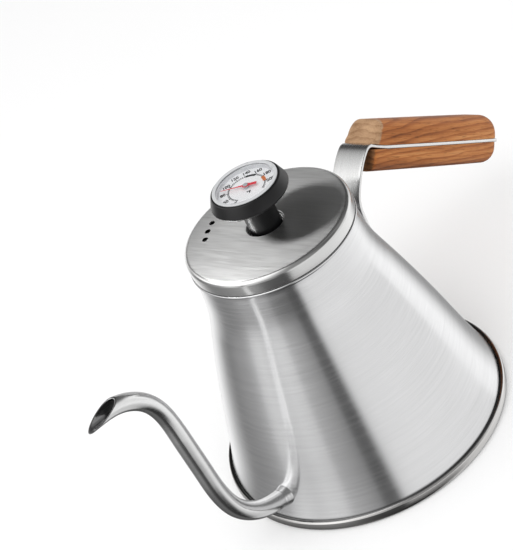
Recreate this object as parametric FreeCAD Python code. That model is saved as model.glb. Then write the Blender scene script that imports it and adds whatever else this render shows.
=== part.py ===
import FreeCAD, Part
import os
from math import cos, radians, sin, tan

# Gooseneck kettle with a lid thermometer. Millimetres.
# Origin: centre of the base's underside on the surface it stands on.
# +Z up, spout towards -X, handle towards +X, XZ is the plane of symmetry.
# Names ending in _R are radii, _T thicknesses, _W widths, _Z, _TOP and _BOTTOM heights.

os.makedirs("parts", exist_ok=True)
Vector = FreeCAD.Vector

GAP = 0.05               # running gap between pieces that move apart


# ---------------------------------------------------------------- helpers
def save(name, shape):
    """Write one piece, as a solid or as a compound of its solids."""
    solids = shape.Solids
    assert solids, name
    piece = solids[0] if len(solids) == 1 else Part.makeCompound(solids)
    piece.exportStep("parts/%s.step" % name)


def largest(shape):
    return max(shape.Solids, key=lambda solid: solid.Volume)


def xz(x, z):
    """Point in the plane of symmetry; x is also the radius of a turned profile."""
    return Vector(x, 0, z)


def lines(*points):
    """Straight edges from each point to the next."""
    return [Part.makeLine(start, end) for start, end in zip(points, points[1:])]


def arc_edge(start, middle, end):
    return Part.Arc(start, middle, end).toShape()


def closed_wire(edges):
    return Part.Wire(Part.__sortEdges__(edges))


def polygon(corners):
    return Part.makePolygon(corners + [corners[0]])


def hexagon(centre, radius, axis):
    """Hexagonal face with a corner along the axis and the other direction along Y."""
    angles = [radians(60 * k) for k in range(6)]
    return Part.Face(polygon([
        centre + axis * (radius * cos(angle)) + Vector(0, radius * sin(angle), 0)
        for angle in angles]))


def outline(points, to_3d):
    """Closed wire through 2-D points; a third value rounds that corner."""
    flat = [Vector(point[0], point[1], 0) for point in points]
    count = len(points)
    corners = []         # where the outline enters, passes the middle of and leaves each corner
    for i, corner in enumerate(flat):
        rounding = points[i][2] if len(points[i]) > 2 else 0.0
        if rounding <= 0:
            corners.append((corner, None, corner))
            continue
        to_last = (flat[i - 1] - corner).normalize()
        to_next = (flat[(i + 1) % count] - corner).normalize()
        half_angle = to_last.getAngle(to_next) / 2
        setback = rounding / tan(half_angle)
        bisector = (to_last + to_next).normalize()
        middle = corner + bisector * (rounding / sin(half_angle) - rounding)
        corners.append((corner + to_last * setback, middle, corner + to_next * setback))
    edges = []
    for i, (entry, middle, leave) in enumerate(corners):
        next_entry = corners[(i + 1) % count][0]
        if middle:
            edges.append(arc_edge(*[to_3d(p.x, p.y) for p in (entry, middle, leave)]))
        if (leave - next_entry).Length > 1e-6:
            edges += lines(to_3d(leave.x, leave.y), to_3d(next_entry.x, next_entry.y))
    return Part.Wire(edges)


def revolve(wire):
    return Part.Face(wire).revolve(Vector(0, 0, 0), Vector(0, 0, 1), 360)


def ring(points):
    """Solid of revolution from (r, z[, rounding]) points."""
    return revolve(outline(points, xz))


def cylinder(radius, bottom, top, x=0.0, y=0.0):
    return Part.makeCylinder(radius, top - bottom, Vector(x, y, bottom))


def spline(points, **options):
    curve = Part.BSplineCurve()
    curve.interpolate(points, **options)
    return curve


def point_and_tangent(curve, parameter):
    tangent = curve.tangent(parameter)
    # the tangent may come back wrapped in a one-item sequence
    if isinstance(tangent, (tuple, list)):
        tangent = tangent[0]
    return curve.value(parameter), tangent


def offset_points(curve, count, distance):
    """Points beside an XZ curve; where it climbs, a positive distance is towards -X."""
    points = []
    first, last = curve.FirstParameter, curve.LastParameter
    for i in range(count):
        point, tangent = point_and_tangent(curve, first + (last - first) * i / (count - 1))
        points.append(xz(point.x - tangent.z * distance, point.z + tangent.x * distance))
    return points


def look_up(table, place):
    """Linear interpolation in a table of (place, value), held at its far end."""
    for (place_0, value_0), (place_1, value_1) in zip(table, table[1:]):
        if place <= place_1:
            return value_0 + (value_1 - value_0) * (place - place_0) / (place_1 - place_0)
    return table[-1][1]


# ---------------------------------------------------------------- base
BASE_R = 75.0            # outer radius of the base cup
CUP_T = 0.8
CUP_IN_R = BASE_R - CUP_T
CUP_BOTTOM_T = 0.6
CUP_EDGE_R = 1.8         # rounding of the cup's lower edge
SPREADER_R = 70.0
SPREADER_TOP = 3.6
FLOOR_TOP = 4.4
FLANGE_TOP = 5.0         # top of the cone's out-turned flange
CURL_TOP = 5.6           # top of the cup's curled lip
CURL_IN_R = 73.7


def make_base_cap():
    return ring([
        (0, 0), (BASE_R, 0, CUP_EDGE_R), (BASE_R, CURL_TOP, 0.8), (CURL_IN_R, CURL_TOP, 0.25),
        (CURL_IN_R, FLANGE_TOP), (CUP_IN_R, FLANGE_TOP), (CUP_IN_R, CUP_BOTTOM_T, 1.0),
        (0, CUP_BOTTOM_T)])


def make_disc(radius, bottom, top):
    return ring([(0, bottom), (radius, bottom), (radius, top), (0, top)])


save("base_cap", make_base_cap())
save("heat_spreader", make_disc(SPREADER_R, CUP_BOTTOM_T, SPREADER_TOP))
save("floor_plate", make_disc(CUP_IN_R, SPREADER_TOP, FLOOR_TOP))

# ---------------------------------------------------------------- cone, neck and rim
WALL = 0.8
# outer face of the cone: r, z
CONE = [(72.9, FLANGE_TOP), (63.65, 35.96), (54.8, 66.78), (46.52, 92.0)]
CONE_PARAMETERS = [0.0, 32.3, 64.35, 90.9]     # spline parameter at each point
CONE_START_DIR = xz(-0.36, 0.93)
CONE_END_DIR = xz(-0.340, 1.0)
NECK_ARC_MID = xz(44.02, 100.95)
NECK_ARC_END = xz(42.58, 110.0)
NECK_TOP_Z = 122.9
NECK_TOP = xz(41.30, NECK_TOP_Z)
# flare from the neck out to the rim
FLARE_START = xz(42.05, 123.25)
FLARE_MID = xz(42.62, 123.55)
RIM_R = 42.7
RIM_BOTTOM = 124.0
RIM_TOP = 124.8
MOUTH_R = 40.5
RIM_ROUND = 0.45         # rounding of the rim's two upper edges
RIM_ROUND_MID = 0.132    # distance from each face to the middle of that rounding

cone = spline([xz(*point) for point in CONE], InitialTangent=CONE_START_DIR,
              FinalTangent=CONE_END_DIR, Parameters=CONE_PARAMETERS, Scale=False)
neck_arc = Part.Arc(xz(*CONE[-1]), NECK_ARC_MID, NECK_ARC_END)
outer_edges = [cone.toShape(), neck_arc.toShape()]


def make_body():
    """Cone, neck and rim in one wall, before the spout's hole."""
    inner = offset_points(cone, 7, WALL) + offset_points(neck_arc, 4, WALL)[1:]
    floor_corner = xz(inner[0].x, FLOOR_TOP)
    edges = lines(floor_corner, xz(CUP_IN_R, FLOOR_TOP), xz(CUP_IN_R, FLANGE_TOP), xz(*CONE[0]))
    edges += outer_edges
    edges += lines(NECK_ARC_END, NECK_TOP, FLARE_START)
    edges.append(arc_edge(FLARE_START, FLARE_MID, xz(RIM_R, RIM_BOTTOM)))
    round_z = RIM_TOP - RIM_ROUND
    round_mid_z = RIM_TOP - RIM_ROUND_MID
    outer_round_end = xz(RIM_R - RIM_ROUND, RIM_TOP)
    mouth_round_start = xz(MOUTH_R + RIM_ROUND, RIM_TOP)
    edges += lines(xz(RIM_R, RIM_BOTTOM), xz(RIM_R, round_z))
    edges.append(arc_edge(
        xz(RIM_R, round_z), xz(RIM_R - RIM_ROUND_MID, round_mid_z), outer_round_end))
    edges += lines(outer_round_end, mouth_round_start)
    edges.append(arc_edge(
        mouth_round_start, xz(MOUTH_R + RIM_ROUND_MID, round_mid_z), xz(MOUTH_R, round_z)))
    edges += lines(xz(MOUTH_R, round_z), xz(MOUTH_R, NECK_TOP_Z), inner[-1])
    edges.append(spline(inner).toShape())
    edges += lines(inner[0], floor_corner)
    return revolve(closed_wire(edges))


def make_outer_solid():
    """Solid with the body's outer face, to trim what sits against it."""
    return revolve(closed_wire(
        lines(xz(0, FLANGE_TOP), xz(*CONE[0])) + outer_edges
        + lines(NECK_ARC_END, NECK_TOP, xz(0, NECK_TOP_Z), xz(0, FLANGE_TOP))))


outer_solid = make_outer_solid()

# ---------------------------------------------------------------- spout
# centre line from inside the body to beyond the tip: x, z
SPOUT = [
    (-60.0, 15.3), (-68.5, 17.4), (-76.5, 20.6), (-84.3, 25.2), (-91.1, 31.5), (-96.4, 39.5),
    (-99.6, 49.2), (-101.1, 60.2), (-101.6, 72.0), (-102.1, 84.0), (-102.55, 95.5),
    (-103.2, 106.0), (-105.0, 115.5), (-109.3, 124.2), (-116.0, 131.3), (-123.0, 135.8),
    (-130.6, 138.6), (-138.5, 140.6), (-146.0, 142.2)]
# share of the centre line's length, outer radius
SPOUT_R = [(0.0, 4.75), (0.40, 4.68), (0.58, 4.65), (0.67, 4.42), (0.76, 4.25), (1.0, 4.15)]
SPOUT_WALL = 0.6
SPOUT_SECTIONS = 26
SPOUT_START_X = -66.3    # the tube's inner end
START_CUT_END_X = -30.0
START_CUT_SIZE = 40.0    # width and height of the block that trims the inner end
TIP_POINT = xz(-129.3, 138.2)     # a point on the slanted tip cut
TIP_NORMAL = xz(-0.1207, 0.9927)
TIP_CUT_SIZE = 120.0
# collar round the spout where it leaves the cone
COLLAR_START_X, COLLAR_TAPER_X, COLLAR_END_X = -65.5, -68.5, -71.2
COLLAR_T = 0.95
COLLAR_THINNING = 0.55
COLLAR_SECTIONS = 7

spout_line = spline([xz(*point) for point in SPOUT])
spout_length = spout_line.length()


def spout_at(share):
    """Point and tangent at a share of the centre line's length."""
    return point_and_tangent(spout_line, spout_line.parameterAtDistance(
        share * spout_length, spout_line.FirstParameter))


def share_at_x(x):
    """Share of the centre line's length at which it passes x, near the body."""
    low, high = 0.0, 0.3
    for _ in range(50):
        middle = (low + high) / 2
        if spout_at(middle)[0].x > x:
            low = middle
        else:
            high = middle
    return low


def spout_radius(share):
    return look_up(SPOUT_R, share)


def make_tube(radius_at, start=0.0, end=1.0, count=SPOUT_SECTIONS):
    """Round solid along the centre line between two shares of its length."""
    across = Vector(0, 1, 0)
    sections = []
    for i in range(count):
        share = start + (end - start) * i / (count - 1)
        point, tangent = spout_at(share)
        circle = Part.Circle(Vector(0, 0, 0), Vector(0, 0, 1), radius_at(share)).toShape()
        turn = FreeCAD.Rotation(across, tangent.cross(across), tangent, "ZXY")
        circle.Placement = FreeCAD.Placement(point, turn)
        sections.append(Part.Wire([circle]))
    return Part.makeLoft(sections, True, False)


def make_tip_block():
    """Block above the slanted tip cut."""
    along = xz(TIP_NORMAL.z, -TIP_NORMAL.x) * TIP_CUT_SIZE
    rise = TIP_NORMAL * TIP_CUT_SIZE
    corner = TIP_POINT + Vector(0, -TIP_CUT_SIZE, 0)
    wire = polygon([corner - along, corner + along, corner + along + rise, corner - along + rise])
    return Part.Face(wire).extrude(Vector(0, 2 * TIP_CUT_SIZE, 0))


def make_spout_tube(solid_tube, tip_block):
    bore = make_tube(lambda share: spout_radius(share) - SPOUT_WALL)
    start_block = Part.makeBox(
        START_CUT_END_X - SPOUT_START_X, START_CUT_SIZE, START_CUT_SIZE,
        Vector(SPOUT_START_X, -START_CUT_SIZE / 2, 0))
    return solid_tube.cut(bore).cut(tip_block).cut(start_block)


def make_spout_collar(solid_tube):
    start, taper_start, end = [
        share_at_x(x) for x in (COLLAR_START_X, COLLAR_TAPER_X, COLLAR_END_X)]

    def collar_radius(share):
        thinned = max(0.0, (share - taper_start) / (end - taper_start))
        return spout_radius(share) + COLLAR_T - COLLAR_THINNING * thinned

    collar = make_tube(collar_radius, start, end, COLLAR_SECTIONS)
    return largest(collar.cut(outer_solid).cut(solid_tube))


solid_spout = make_tube(spout_radius)
tip_block = make_tip_block()
save("spout_tube", make_spout_tube(solid_spout, tip_block))
save("body_shell", largest(make_body().cut(solid_spout.cut(tip_block))))
save("spout_collar", make_spout_collar(solid_spout))

# ---------------------------------------------------------------- handle frame
# The tang is the strap's straight rear part. Places on the handle are given as a distance
# along the tang's mid line, and a distance up from it, square to it.
TANG_ORIGIN = xz(80.302, 112.899)
TANG_DIR = xz(0.797, -0.604)           # along the handle, towards its rear
TANG_UP = xz(-TANG_DIR.z, TANG_DIR.x)  # up through the upper grip
TANG_START, TANG_END = 8.0, 108.2

STRAP_W = 17.5
STRAP_T = 1.8
STRAP_HALF_T = STRAP_T / 2
SCREW_AT = [24.0, 84.0]  # distances along the tang
SCREW_R = 1.75
SCREW_CLEARANCE = 0.15
GRIP_W = [(-6.0, 19.4), (15.0, 20.4), (45.0, 22.0), (75.0, 22.0), (112.0, 20.0)]  # along, width


def handle_point(along, up, y=0.0):
    return TANG_ORIGIN + TANG_DIR * along + TANG_UP * up + Vector(0, y, 0)


def handle_rod(radius, along, bottom, top):
    """Cylinder square to the tang, between two distances up from its mid line."""
    return Part.makeCylinder(radius, top - bottom, handle_point(along, bottom), TANG_UP)


# ---------------------------------------------------------------- handle strap
# mid line from the foot over the arch, up to the start of the tang: x, z
ARCH = [
    (51.9, 76.0), (51.9, 93.0), (53.6, 100.4), (57.7, 106.1), (65.0, 112.85), (71.8, 116.8),
    (74.4, 117.45), (76.4, 116.95), (79.1, 114.7), (82.1, 111.95)]
ARCH_OFFSET_POINTS = 57
STRAP_BLANK_HALF_W = 12.0
TANG_INSET = 0.15        # tang edge inside the grip's side
WIDEN_START = -2.0       # where the strap starts to widen, along the tang
TANG_STATIONS = [TANG_START, 16.0, 26.0, 36.0, 45.0, 56.0, 66.0, 75.0, 86.0, 96.0, 102.0]
PLAN_FRONT = -140.0      # ends of the plan, clear of the strap
PLAN_REAR = TANG_END + 4
PLAN_UP = 60.0           # height of the plan above the tang
PLAN_DEPTH = 200.0
FOOT_BOTTOM, FOOT_TOP = 50.0, 79.5
FOOT_CORNER_R = 5.5
FOOT_CUT_X, FOOT_CUT_LENGTH = 30.0, 60.0


def strap_curve(points):
    """Spline that starts straight up and ends along the tang."""
    return spline(points, InitialTangent=Vector(0, 0, 1), FinalTangent=TANG_DIR)


def make_strap_blank():
    """Side profile of the arch and tang, wider than the strap."""
    middle = strap_curve([xz(*point) for point in ARCH] + [handle_point(TANG_START, 0)])
    upper = offset_points(middle, ARCH_OFFSET_POINTS, STRAP_HALF_T)
    lower = offset_points(middle, ARCH_OFFSET_POINTS, -STRAP_HALF_T)
    edges = [strap_curve(upper).toShape()]
    edges += lines(upper[-1], handle_point(TANG_END, STRAP_HALF_T),
                   handle_point(TANG_END, -STRAP_HALF_T), lower[-1])
    edges.append(strap_curve(lower).toShape())
    edges += lines(lower[0], upper[0])
    wire = closed_wire(edges)
    wire.translate(Vector(0, -STRAP_BLANK_HALF_W, 0))
    return Part.Face(wire).extrude(Vector(0, 2 * STRAP_BLANK_HALF_W, 0))


def make_strap_plan():
    """Outline seen square to the tang: constant width over the arch, then following the grips."""
    half_w = STRAP_W / 2
    stations = [(WIDEN_START, half_w)]
    stations += [(along, look_up(GRIP_W, along) / 2 - TANG_INSET) for along in TANG_STATIONS]
    rear_along, rear_half_w = stations[-1]

    def plan_curve(side):
        points = [handle_point(along, PLAN_UP, side * y) for along, y in stations]
        return spline(points, InitialTangent=TANG_DIR, FinalTangent=TANG_DIR).toShape()

    def plan_lines(*places):
        return lines(*[handle_point(along, PLAN_UP, y) for along, y in places])

    edges = [plan_curve(1)]
    edges += plan_lines((rear_along, rear_half_w), (PLAN_REAR, rear_half_w),
                        (PLAN_REAR, -rear_half_w), (rear_along, -rear_half_w))
    edges.append(plan_curve(-1))
    edges += plan_lines((WIDEN_START, -half_w), (PLAN_FRONT, -half_w),
                        (PLAN_FRONT, half_w), (WIDEN_START, half_w))
    return Part.Face(closed_wire(edges)).extrude(TANG_UP * -PLAN_DEPTH)


def make_foot():
    """Patch that follows the cone, rounded at its lower corners."""
    face_points = offset_points(cone, 9, -STRAP_T)
    first, last = face_points[0], face_points[-1]
    foot_ring = revolve(closed_wire(
        [spline(face_points).toShape()] + lines(first, xz(0, first.z), xz(0, last.z), last)))
    half_w = STRAP_W / 2
    front_view = outline(
        [(-half_w, FOOT_BOTTOM, FOOT_CORNER_R), (half_w, FOOT_BOTTOM, FOOT_CORNER_R),
         (half_w, FOOT_TOP), (-half_w, FOOT_TOP)],
        lambda y, z: Vector(FOOT_CUT_X, y, z))
    return Part.Face(front_view).extrude(Vector(FOOT_CUT_LENGTH, 0, 0)).common(foot_ring)


def make_strap():
    strap = make_strap_blank().common(make_strap_plan())
    strap = largest(strap.fuse(make_foot()).cut(outer_solid))
    for along in SCREW_AT:
        strap = strap.cut(handle_rod(SCREW_R + SCREW_CLEARANCE, along, -5, 5))
    return strap.removeSplitter()


strap = make_strap()
save("handle_strap", strap)

# ---------------------------------------------------------------- grips and their screws
GRIP_FRONT = -4.4
GRIP_UP = 13.8                   # tang mid line to the top of the upper grip
GRIP_DOWN = 12.1                 # and to the bottom of the lower grip
GRIP_TOP_ROUND, GRIP_BOTTOM_ROUND = 6.2, 5.6
GRIP_CUT_HALF_W = 30.0
# side outline of both grips together, raked at the upper front and rounded at the rear:
# along, up[, rounding]
GRIP_SIDE = [
    (GRIP_FRONT, -GRIP_DOWN - 3), (GRIP_FRONT, 1.5), (0.8, GRIP_UP - 0.3, 7.0),
    (12.0, GRIP_UP + 3), (90.0, GRIP_UP + 3), (97.0, GRIP_UP - 0.6, 9.0), (108.6, 2.4, 8.5),
    (104.2, -GRIP_DOWN + 0.4, 7.0), (90.0, -GRIP_DOWN - 3)]
NUT_R, NUT_L = 2.8, 8.0
NUT_TOP = STRAP_HALF_T + NUT_L
NUT_CAP_T = 1.0                  # closed upper end of the nut
HEAD_R, HEAD_H = 3.2, 2.4
HEAD_CLEARANCE = 0.2
HEAD_BOTTOM = -GRIP_DOWN + 1.0   # the screw heads sit 1 mm inside the lower grip
HEAD_TOP = HEAD_BOTTOM + HEAD_H
SOCKET_R = 1.45                  # hexagonal socket, to its corners


def grip_section(along, width):
    half_w = width / 2
    return outline(
        [(-half_w, -GRIP_DOWN, GRIP_BOTTOM_ROUND), (half_w, -GRIP_DOWN, GRIP_BOTTOM_ROUND),
         (half_w, GRIP_UP, GRIP_TOP_ROUND), (-half_w, GRIP_UP, GRIP_TOP_ROUND)],
        lambda y, up: handle_point(along, up, y))


def side_block(points):
    """Block across the handle from an outline in (along, up)."""
    wire = outline(points, lambda along, up: handle_point(along, up, -GRIP_CUT_HALF_W))
    return Part.Face(wire).extrude(Vector(0, 2 * GRIP_CUT_HALF_W, 0))


def grip_half(grip, bottom, top):
    """The part of the grip between two distances up from the tang, clear of the strap."""
    slab = side_block([(-30, bottom), (130, bottom), (130, top), (-30, top)])
    return largest(grip.common(slab).cut(strap))


def make_screw(along):
    shank = handle_rod(SCREW_R, along, HEAD_TOP - 0.5, NUT_TOP - NUT_CAP_T)
    head = handle_rod(HEAD_R, along, HEAD_BOTTOM, HEAD_TOP)
    socket = hexagon(handle_point(along, HEAD_BOTTOM - 0.1), SOCKET_R, TANG_DIR)
    return head.fuse(shank).removeSplitter().cut(socket.extrude(TANG_UP * 1.4))


def make_grip_nut(along):
    bore = handle_rod(SCREW_R, along, STRAP_HALF_T - 1, NUT_TOP - NUT_CAP_T)
    return handle_rod(NUT_R, along, STRAP_HALF_T, NUT_TOP).cut(bore)


def make_grips():
    """Upper and lower grip, with the holes for nuts and screws."""
    grip = Part.makeLoft([grip_section(along, width) for along, width in GRIP_W], True, False)
    grip = grip.common(side_block(GRIP_SIDE))
    upper = grip_half(grip, STRAP_HALF_T, 30)
    lower = grip_half(grip, -30, -STRAP_HALF_T)
    for along in SCREW_AT:
        upper = upper.cut(handle_rod(NUT_R, along, STRAP_HALF_T - 2, NUT_TOP))
        lower = lower.cut(handle_rod(SCREW_R + SCREW_CLEARANCE, along, -20, 2))
        lower = lower.cut(handle_rod(HEAD_R + HEAD_CLEARANCE, along, -25, HEAD_TOP))
    return upper, lower


grip_upper, grip_lower = make_grips()
save("grip_upper", grip_upper)
save("grip_lower", grip_lower)
save("grip_screws", Part.makeCompound([make_screw(along) for along in SCREW_AT]))
save("grip_nuts", Part.makeCompound([make_grip_nut(along) for along in SCREW_AT]))

# ---------------------------------------------------------------- lid
LID_R = 42.3
LID_TOP = 132.8
LID_T = 0.8
LID_IN_R = LID_R - LID_T
LID_EDGE_R = 2.5
LID_SKIRT_Z = 125.15
PLUG_R = 40.3
PLUG_IN_R = PLUG_R - LID_T
PLUG_BOTTOM = 113.0
PLUG_FLANGE_Z = RIM_TOP + GAP
PLUG_FLANGE_TOP = PLUG_FLANGE_Z + LID_T
RECESS_R = 9.0
RECESS_FLOOR = 128.8
RECESS_UNDER = RECESS_FLOOR - LID_T
VENT_R = 1.5
VENTS = [(-3.1, 31.2), (-9.1, 29.7), (-14.6, 27.4)]     # x, y
GROMMET_R = 7.0
GROMMET_LOW_R = GROMMET_R - 0.5
GROMMET_HOLE_R = 5.0
GROMMET_BORE_R = 3.3
GROMMET_TOP = RECESS_FLOOR + 0.6
GROMMET_BOTTOM = RECESS_UNDER - 0.9


def make_lid_shell():
    lid = ring([
        (GROMMET_HOLE_R, RECESS_UNDER), (RECESS_R + LID_T, RECESS_UNDER, 1.0),
        (RECESS_R + LID_T, LID_TOP - LID_T, 0.4), (LID_IN_R, LID_TOP - LID_T, LID_EDGE_R - LID_T),
        (LID_IN_R, LID_SKIRT_Z, 0.15), (LID_R, LID_SKIRT_Z, 0.3), (LID_R, LID_TOP, LID_EDGE_R),
        (RECESS_R, LID_TOP, 0.65), (RECESS_R, RECESS_FLOOR, 0.4), (GROMMET_HOLE_R, RECESS_FLOOR)])
    for x, y in VENTS:
        lid = lid.cut(cylinder(VENT_R, LID_TOP - 3, LID_TOP + 3, x, y))
    return lid


def make_plug_ring():
    return ring([
        (PLUG_IN_R, PLUG_BOTTOM, 0.25), (PLUG_R, PLUG_BOTTOM, 0.35), (PLUG_R, PLUG_FLANGE_Z),
        (LID_IN_R, PLUG_FLANGE_Z, 0.15), (LID_IN_R, PLUG_FLANGE_TOP),
        (PLUG_IN_R, PLUG_FLANGE_TOP, 0.6)])


def make_grommet():
    return ring([
        (GROMMET_BORE_R, GROMMET_BOTTOM, 0.2), (GROMMET_LOW_R, GROMMET_BOTTOM, 0.3),
        (GROMMET_LOW_R, RECESS_UNDER), (GROMMET_HOLE_R, RECESS_UNDER),
        (GROMMET_HOLE_R, RECESS_FLOOR), (GROMMET_R, RECESS_FLOOR),
        (GROMMET_R, GROMMET_TOP, 0.25), (GROMMET_BORE_R, GROMMET_TOP, 0.2)])


save("lid_shell", make_lid_shell())
save("lid_plug_ring", make_plug_ring())
save("lid_grommet", make_grommet())

# ---------------------------------------------------------------- thermometer head
HOUSING_TOP_R, HOUSING_TOP_Z = 17.3, 156.9
HOUSING_MAX_R, HOUSING_MAX_Z = 19.7, 151.2
HOUSING_LOW_R, HOUSING_LOW_Z = 18.9, 149.9
STEM_R, STEM_TOP = 8.05, 147.9
STEM_HOLLOW_R = 6.4
STEM_HOLLOW_TOP = 147.6
STEM_BOTTOM = GROMMET_TOP + GAP
STEM_BASE_TOP = STEM_BOTTOM + 5.0
STEM_COLLAR_R = 3.4
STEM_COLLAR_BOTTOM = 142.6
SPIGOT_R = GROMMET_BORE_R - GAP
SPIGOT_BOTTOM = 123.5
CLAMP_NUT_R = 5.6        # to its corners
CLAMP_NUT_H = 3.0
CAN_R, CAN_T = 15.6, 0.4
CAN_IN_R = CAN_R - CAN_T
CAN_BOTTOM, CAN_TOP = 151.2, 156.1
CAN_FLOOR = CAN_BOTTOM + CAN_T
SPACER_IN_R = 13.6
DIAL_BOTTOM, DIAL_TOP = 154.1, 154.5
GASKET_IN_R = 14.2
LENS_BOTTOM, LENS_TOP = 156.5, 157.05
BEZEL_TOP = 157.5
BEZEL_R, BEZEL_IN_R = 16.4, 14.6
BEZEL_SKIRT_R, BEZEL_SKIRT_Z = CAN_R + 0.3, 153.0
PROBE_R, PROBE_IN_R = 2.0, 1.7
SPINDLE_R = 0.4
DIAL_HOLE_R = SPINDLE_R + 0.25


def make_sleeve(inner_radius, outer_radius, bottom, top):
    """Plain ring of rectangular section."""
    return ring([(inner_radius, bottom), (outer_radius, bottom),
                 (outer_radius, top), (inner_radius, top)])


def make_gauge_housing():
    return ring([
        (STEM_COLLAR_R, CAN_BOTTOM), (CAN_R, CAN_BOTTOM), (CAN_R, BEZEL_SKIRT_Z),
        (BEZEL_SKIRT_R, BEZEL_SKIRT_Z), (BEZEL_SKIRT_R, HOUSING_TOP_Z),
        (HOUSING_TOP_R, HOUSING_TOP_Z, 1.0), (HOUSING_MAX_R, HOUSING_MAX_Z, 0.7),
        (HOUSING_LOW_R, HOUSING_LOW_Z, 0.5), (STEM_R, STEM_TOP, 1.2), (STEM_R, STEM_BOTTOM, 0.5),
        (STEM_HOLLOW_R, STEM_BOTTOM), (STEM_HOLLOW_R, STEM_HOLLOW_TOP),
        (STEM_COLLAR_R, STEM_HOLLOW_TOP)])


def make_stem_base():
    return ring([
        (PROBE_R, SPIGOT_BOTTOM), (SPIGOT_R, SPIGOT_BOTTOM, 0.5), (SPIGOT_R, STEM_BOTTOM),
        (STEM_HOLLOW_R, STEM_BOTTOM), (STEM_HOLLOW_R, STEM_BASE_TOP), (PROBE_R, STEM_BASE_TOP)])


def make_clamp_nut():
    face = hexagon(xz(0, STEM_HOLLOW_TOP - CLAMP_NUT_H), CLAMP_NUT_R, Vector(1, 0, 0))
    return face.extrude(Vector(0, 0, CLAMP_NUT_H)).cut(cylinder(STEM_COLLAR_R, 140, 150))


def make_gauge_can():
    return ring([
        (PROBE_R, CAN_BOTTOM), (CAN_R, CAN_BOTTOM), (CAN_R, CAN_TOP), (CAN_IN_R, CAN_TOP),
        (CAN_IN_R, CAN_FLOOR), (PROBE_R, CAN_FLOOR)])


def make_gauge_bezel():
    return ring([
        (BEZEL_IN_R, LENS_TOP), (CAN_IN_R, LENS_TOP), (CAN_IN_R, CAN_TOP), (CAN_R, CAN_TOP),
        (CAN_R, BEZEL_SKIRT_Z), (BEZEL_SKIRT_R, BEZEL_SKIRT_Z), (BEZEL_SKIRT_R, HOUSING_TOP_Z),
        (BEZEL_R, HOUSING_TOP_Z), (BEZEL_R, BEZEL_TOP, 0.2), (BEZEL_IN_R, BEZEL_TOP, 0.3)])


save("gauge_housing", make_gauge_housing())
save("stem_base", make_stem_base())
save("stem_collar", make_sleeve(PROBE_R, STEM_COLLAR_R, STEM_COLLAR_BOTTOM, CAN_BOTTOM))
save("clamp_nut", make_clamp_nut())
save("gauge_can", make_gauge_can())
save("dial_spacer", make_sleeve(SPACER_IN_R, CAN_IN_R, CAN_FLOOR, DIAL_BOTTOM))
save("dial_plate", make_sleeve(DIAL_HOLE_R, CAN_IN_R, DIAL_BOTTOM, DIAL_TOP))
save("lens_gasket", make_sleeve(GASKET_IN_R, CAN_IN_R, DIAL_TOP, LENS_BOTTOM))
save("gauge_lens", make_disc(CAN_IN_R, LENS_BOTTOM, LENS_TOP))
save("gauge_bezel", make_gauge_bezel())

# ---------------------------------------------------------------- probe
PROBE_BOTTOM = 25.0
TUBE_BOTTOM = PROBE_BOTTOM + 3
TIP_PLUG_TOP = PROBE_BOTTOM + 6
BUSH_BOTTOM = 148.0
COIL_BOTTOM = PROBE_BOTTOM + 6.6
COIL_TURNS, COIL_PITCH = 14, 2.2
COIL_R = 1.1             # of the helix the strip follows
COIL_IN_R, COIL_OUT_R = 0.95, 1.3
COIL_STRIP_HALF_H = 0.55


def make_probe_tip():
    return ring([
        (0, PROBE_BOTTOM), (PROBE_R, PROBE_BOTTOM, 1.4), (PROBE_R, TUBE_BOTTOM),
        (PROBE_IN_R, TUBE_BOTTOM), (PROBE_IN_R, TIP_PLUG_TOP), (0, TIP_PLUG_TOP)])


def make_coil():
    helix = Part.makeLongHelix(COIL_PITCH, COIL_PITCH * COIL_TURNS, COIL_R)
    helix.translate(Vector(0, 0, COIL_BOTTOM))
    low, high = COIL_BOTTOM - COIL_STRIP_HALF_H, COIL_BOTTOM + COIL_STRIP_HALF_H
    section = polygon([
        xz(COIL_IN_R, low), xz(COIL_OUT_R, low), xz(COIL_OUT_R, high), xz(COIL_IN_R, high)])
    return Part.Wire(helix).makePipeShell([section], True, True)


save("probe_tube", make_sleeve(PROBE_IN_R, PROBE_R, TUBE_BOTTOM, CAN_FLOOR))
save("probe_tip", make_probe_tip())
save("spindle_bush", make_sleeve(SPINDLE_R + GAP, PROBE_IN_R, BUSH_BOTTOM, CAN_FLOOR))
save("bimetal_coil", make_coil())

# ---------------------------------------------------------------- pointer
POINTER_Z, POINTER_T = 155.85, 0.2
POINTER_TOP = POINTER_Z + POINTER_T
POINTER_LONG, POINTER_TAIL = 12.8, 5.6
POINTER_ANGLE = 115.0    # pointer direction at rest, from +X about +Z
POINTER_DISC_R = 1.8
# half outline from the point to the tail: x, half width
NEEDLE = [(POINTER_LONG, 0.12), (1.2, 0.45), (-1.0, 0.8), (-POINTER_TAIL, 0.85)]
BOSS_R, BOSS_NECK_R, BOSS_HEAD_R = 1.5, 1.0, 1.3   # hub, neck through the pointer, head
BOSS_BOTTOM, BOSS_TOP = DIAL_TOP + 0.25, LENS_BOTTOM - 0.1


def make_pointer():
    points = NEEDLE + [(x, -y) for x, y in reversed(NEEDLE)]
    wire = outline(points, lambda x, y: Vector(x, y, POINTER_Z))
    pointer = Part.Face(wire).extrude(Vector(0, 0, POINTER_T))
    pointer = pointer.fuse(cylinder(POINTER_DISC_R, POINTER_Z, POINTER_TOP))
    pointer = pointer.removeSplitter().cut(cylinder(BOSS_NECK_R, 150, 160))
    pointer.rotate(Vector(0, 0, 0), Vector(0, 0, 1), POINTER_ANGLE)
    return pointer


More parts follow.
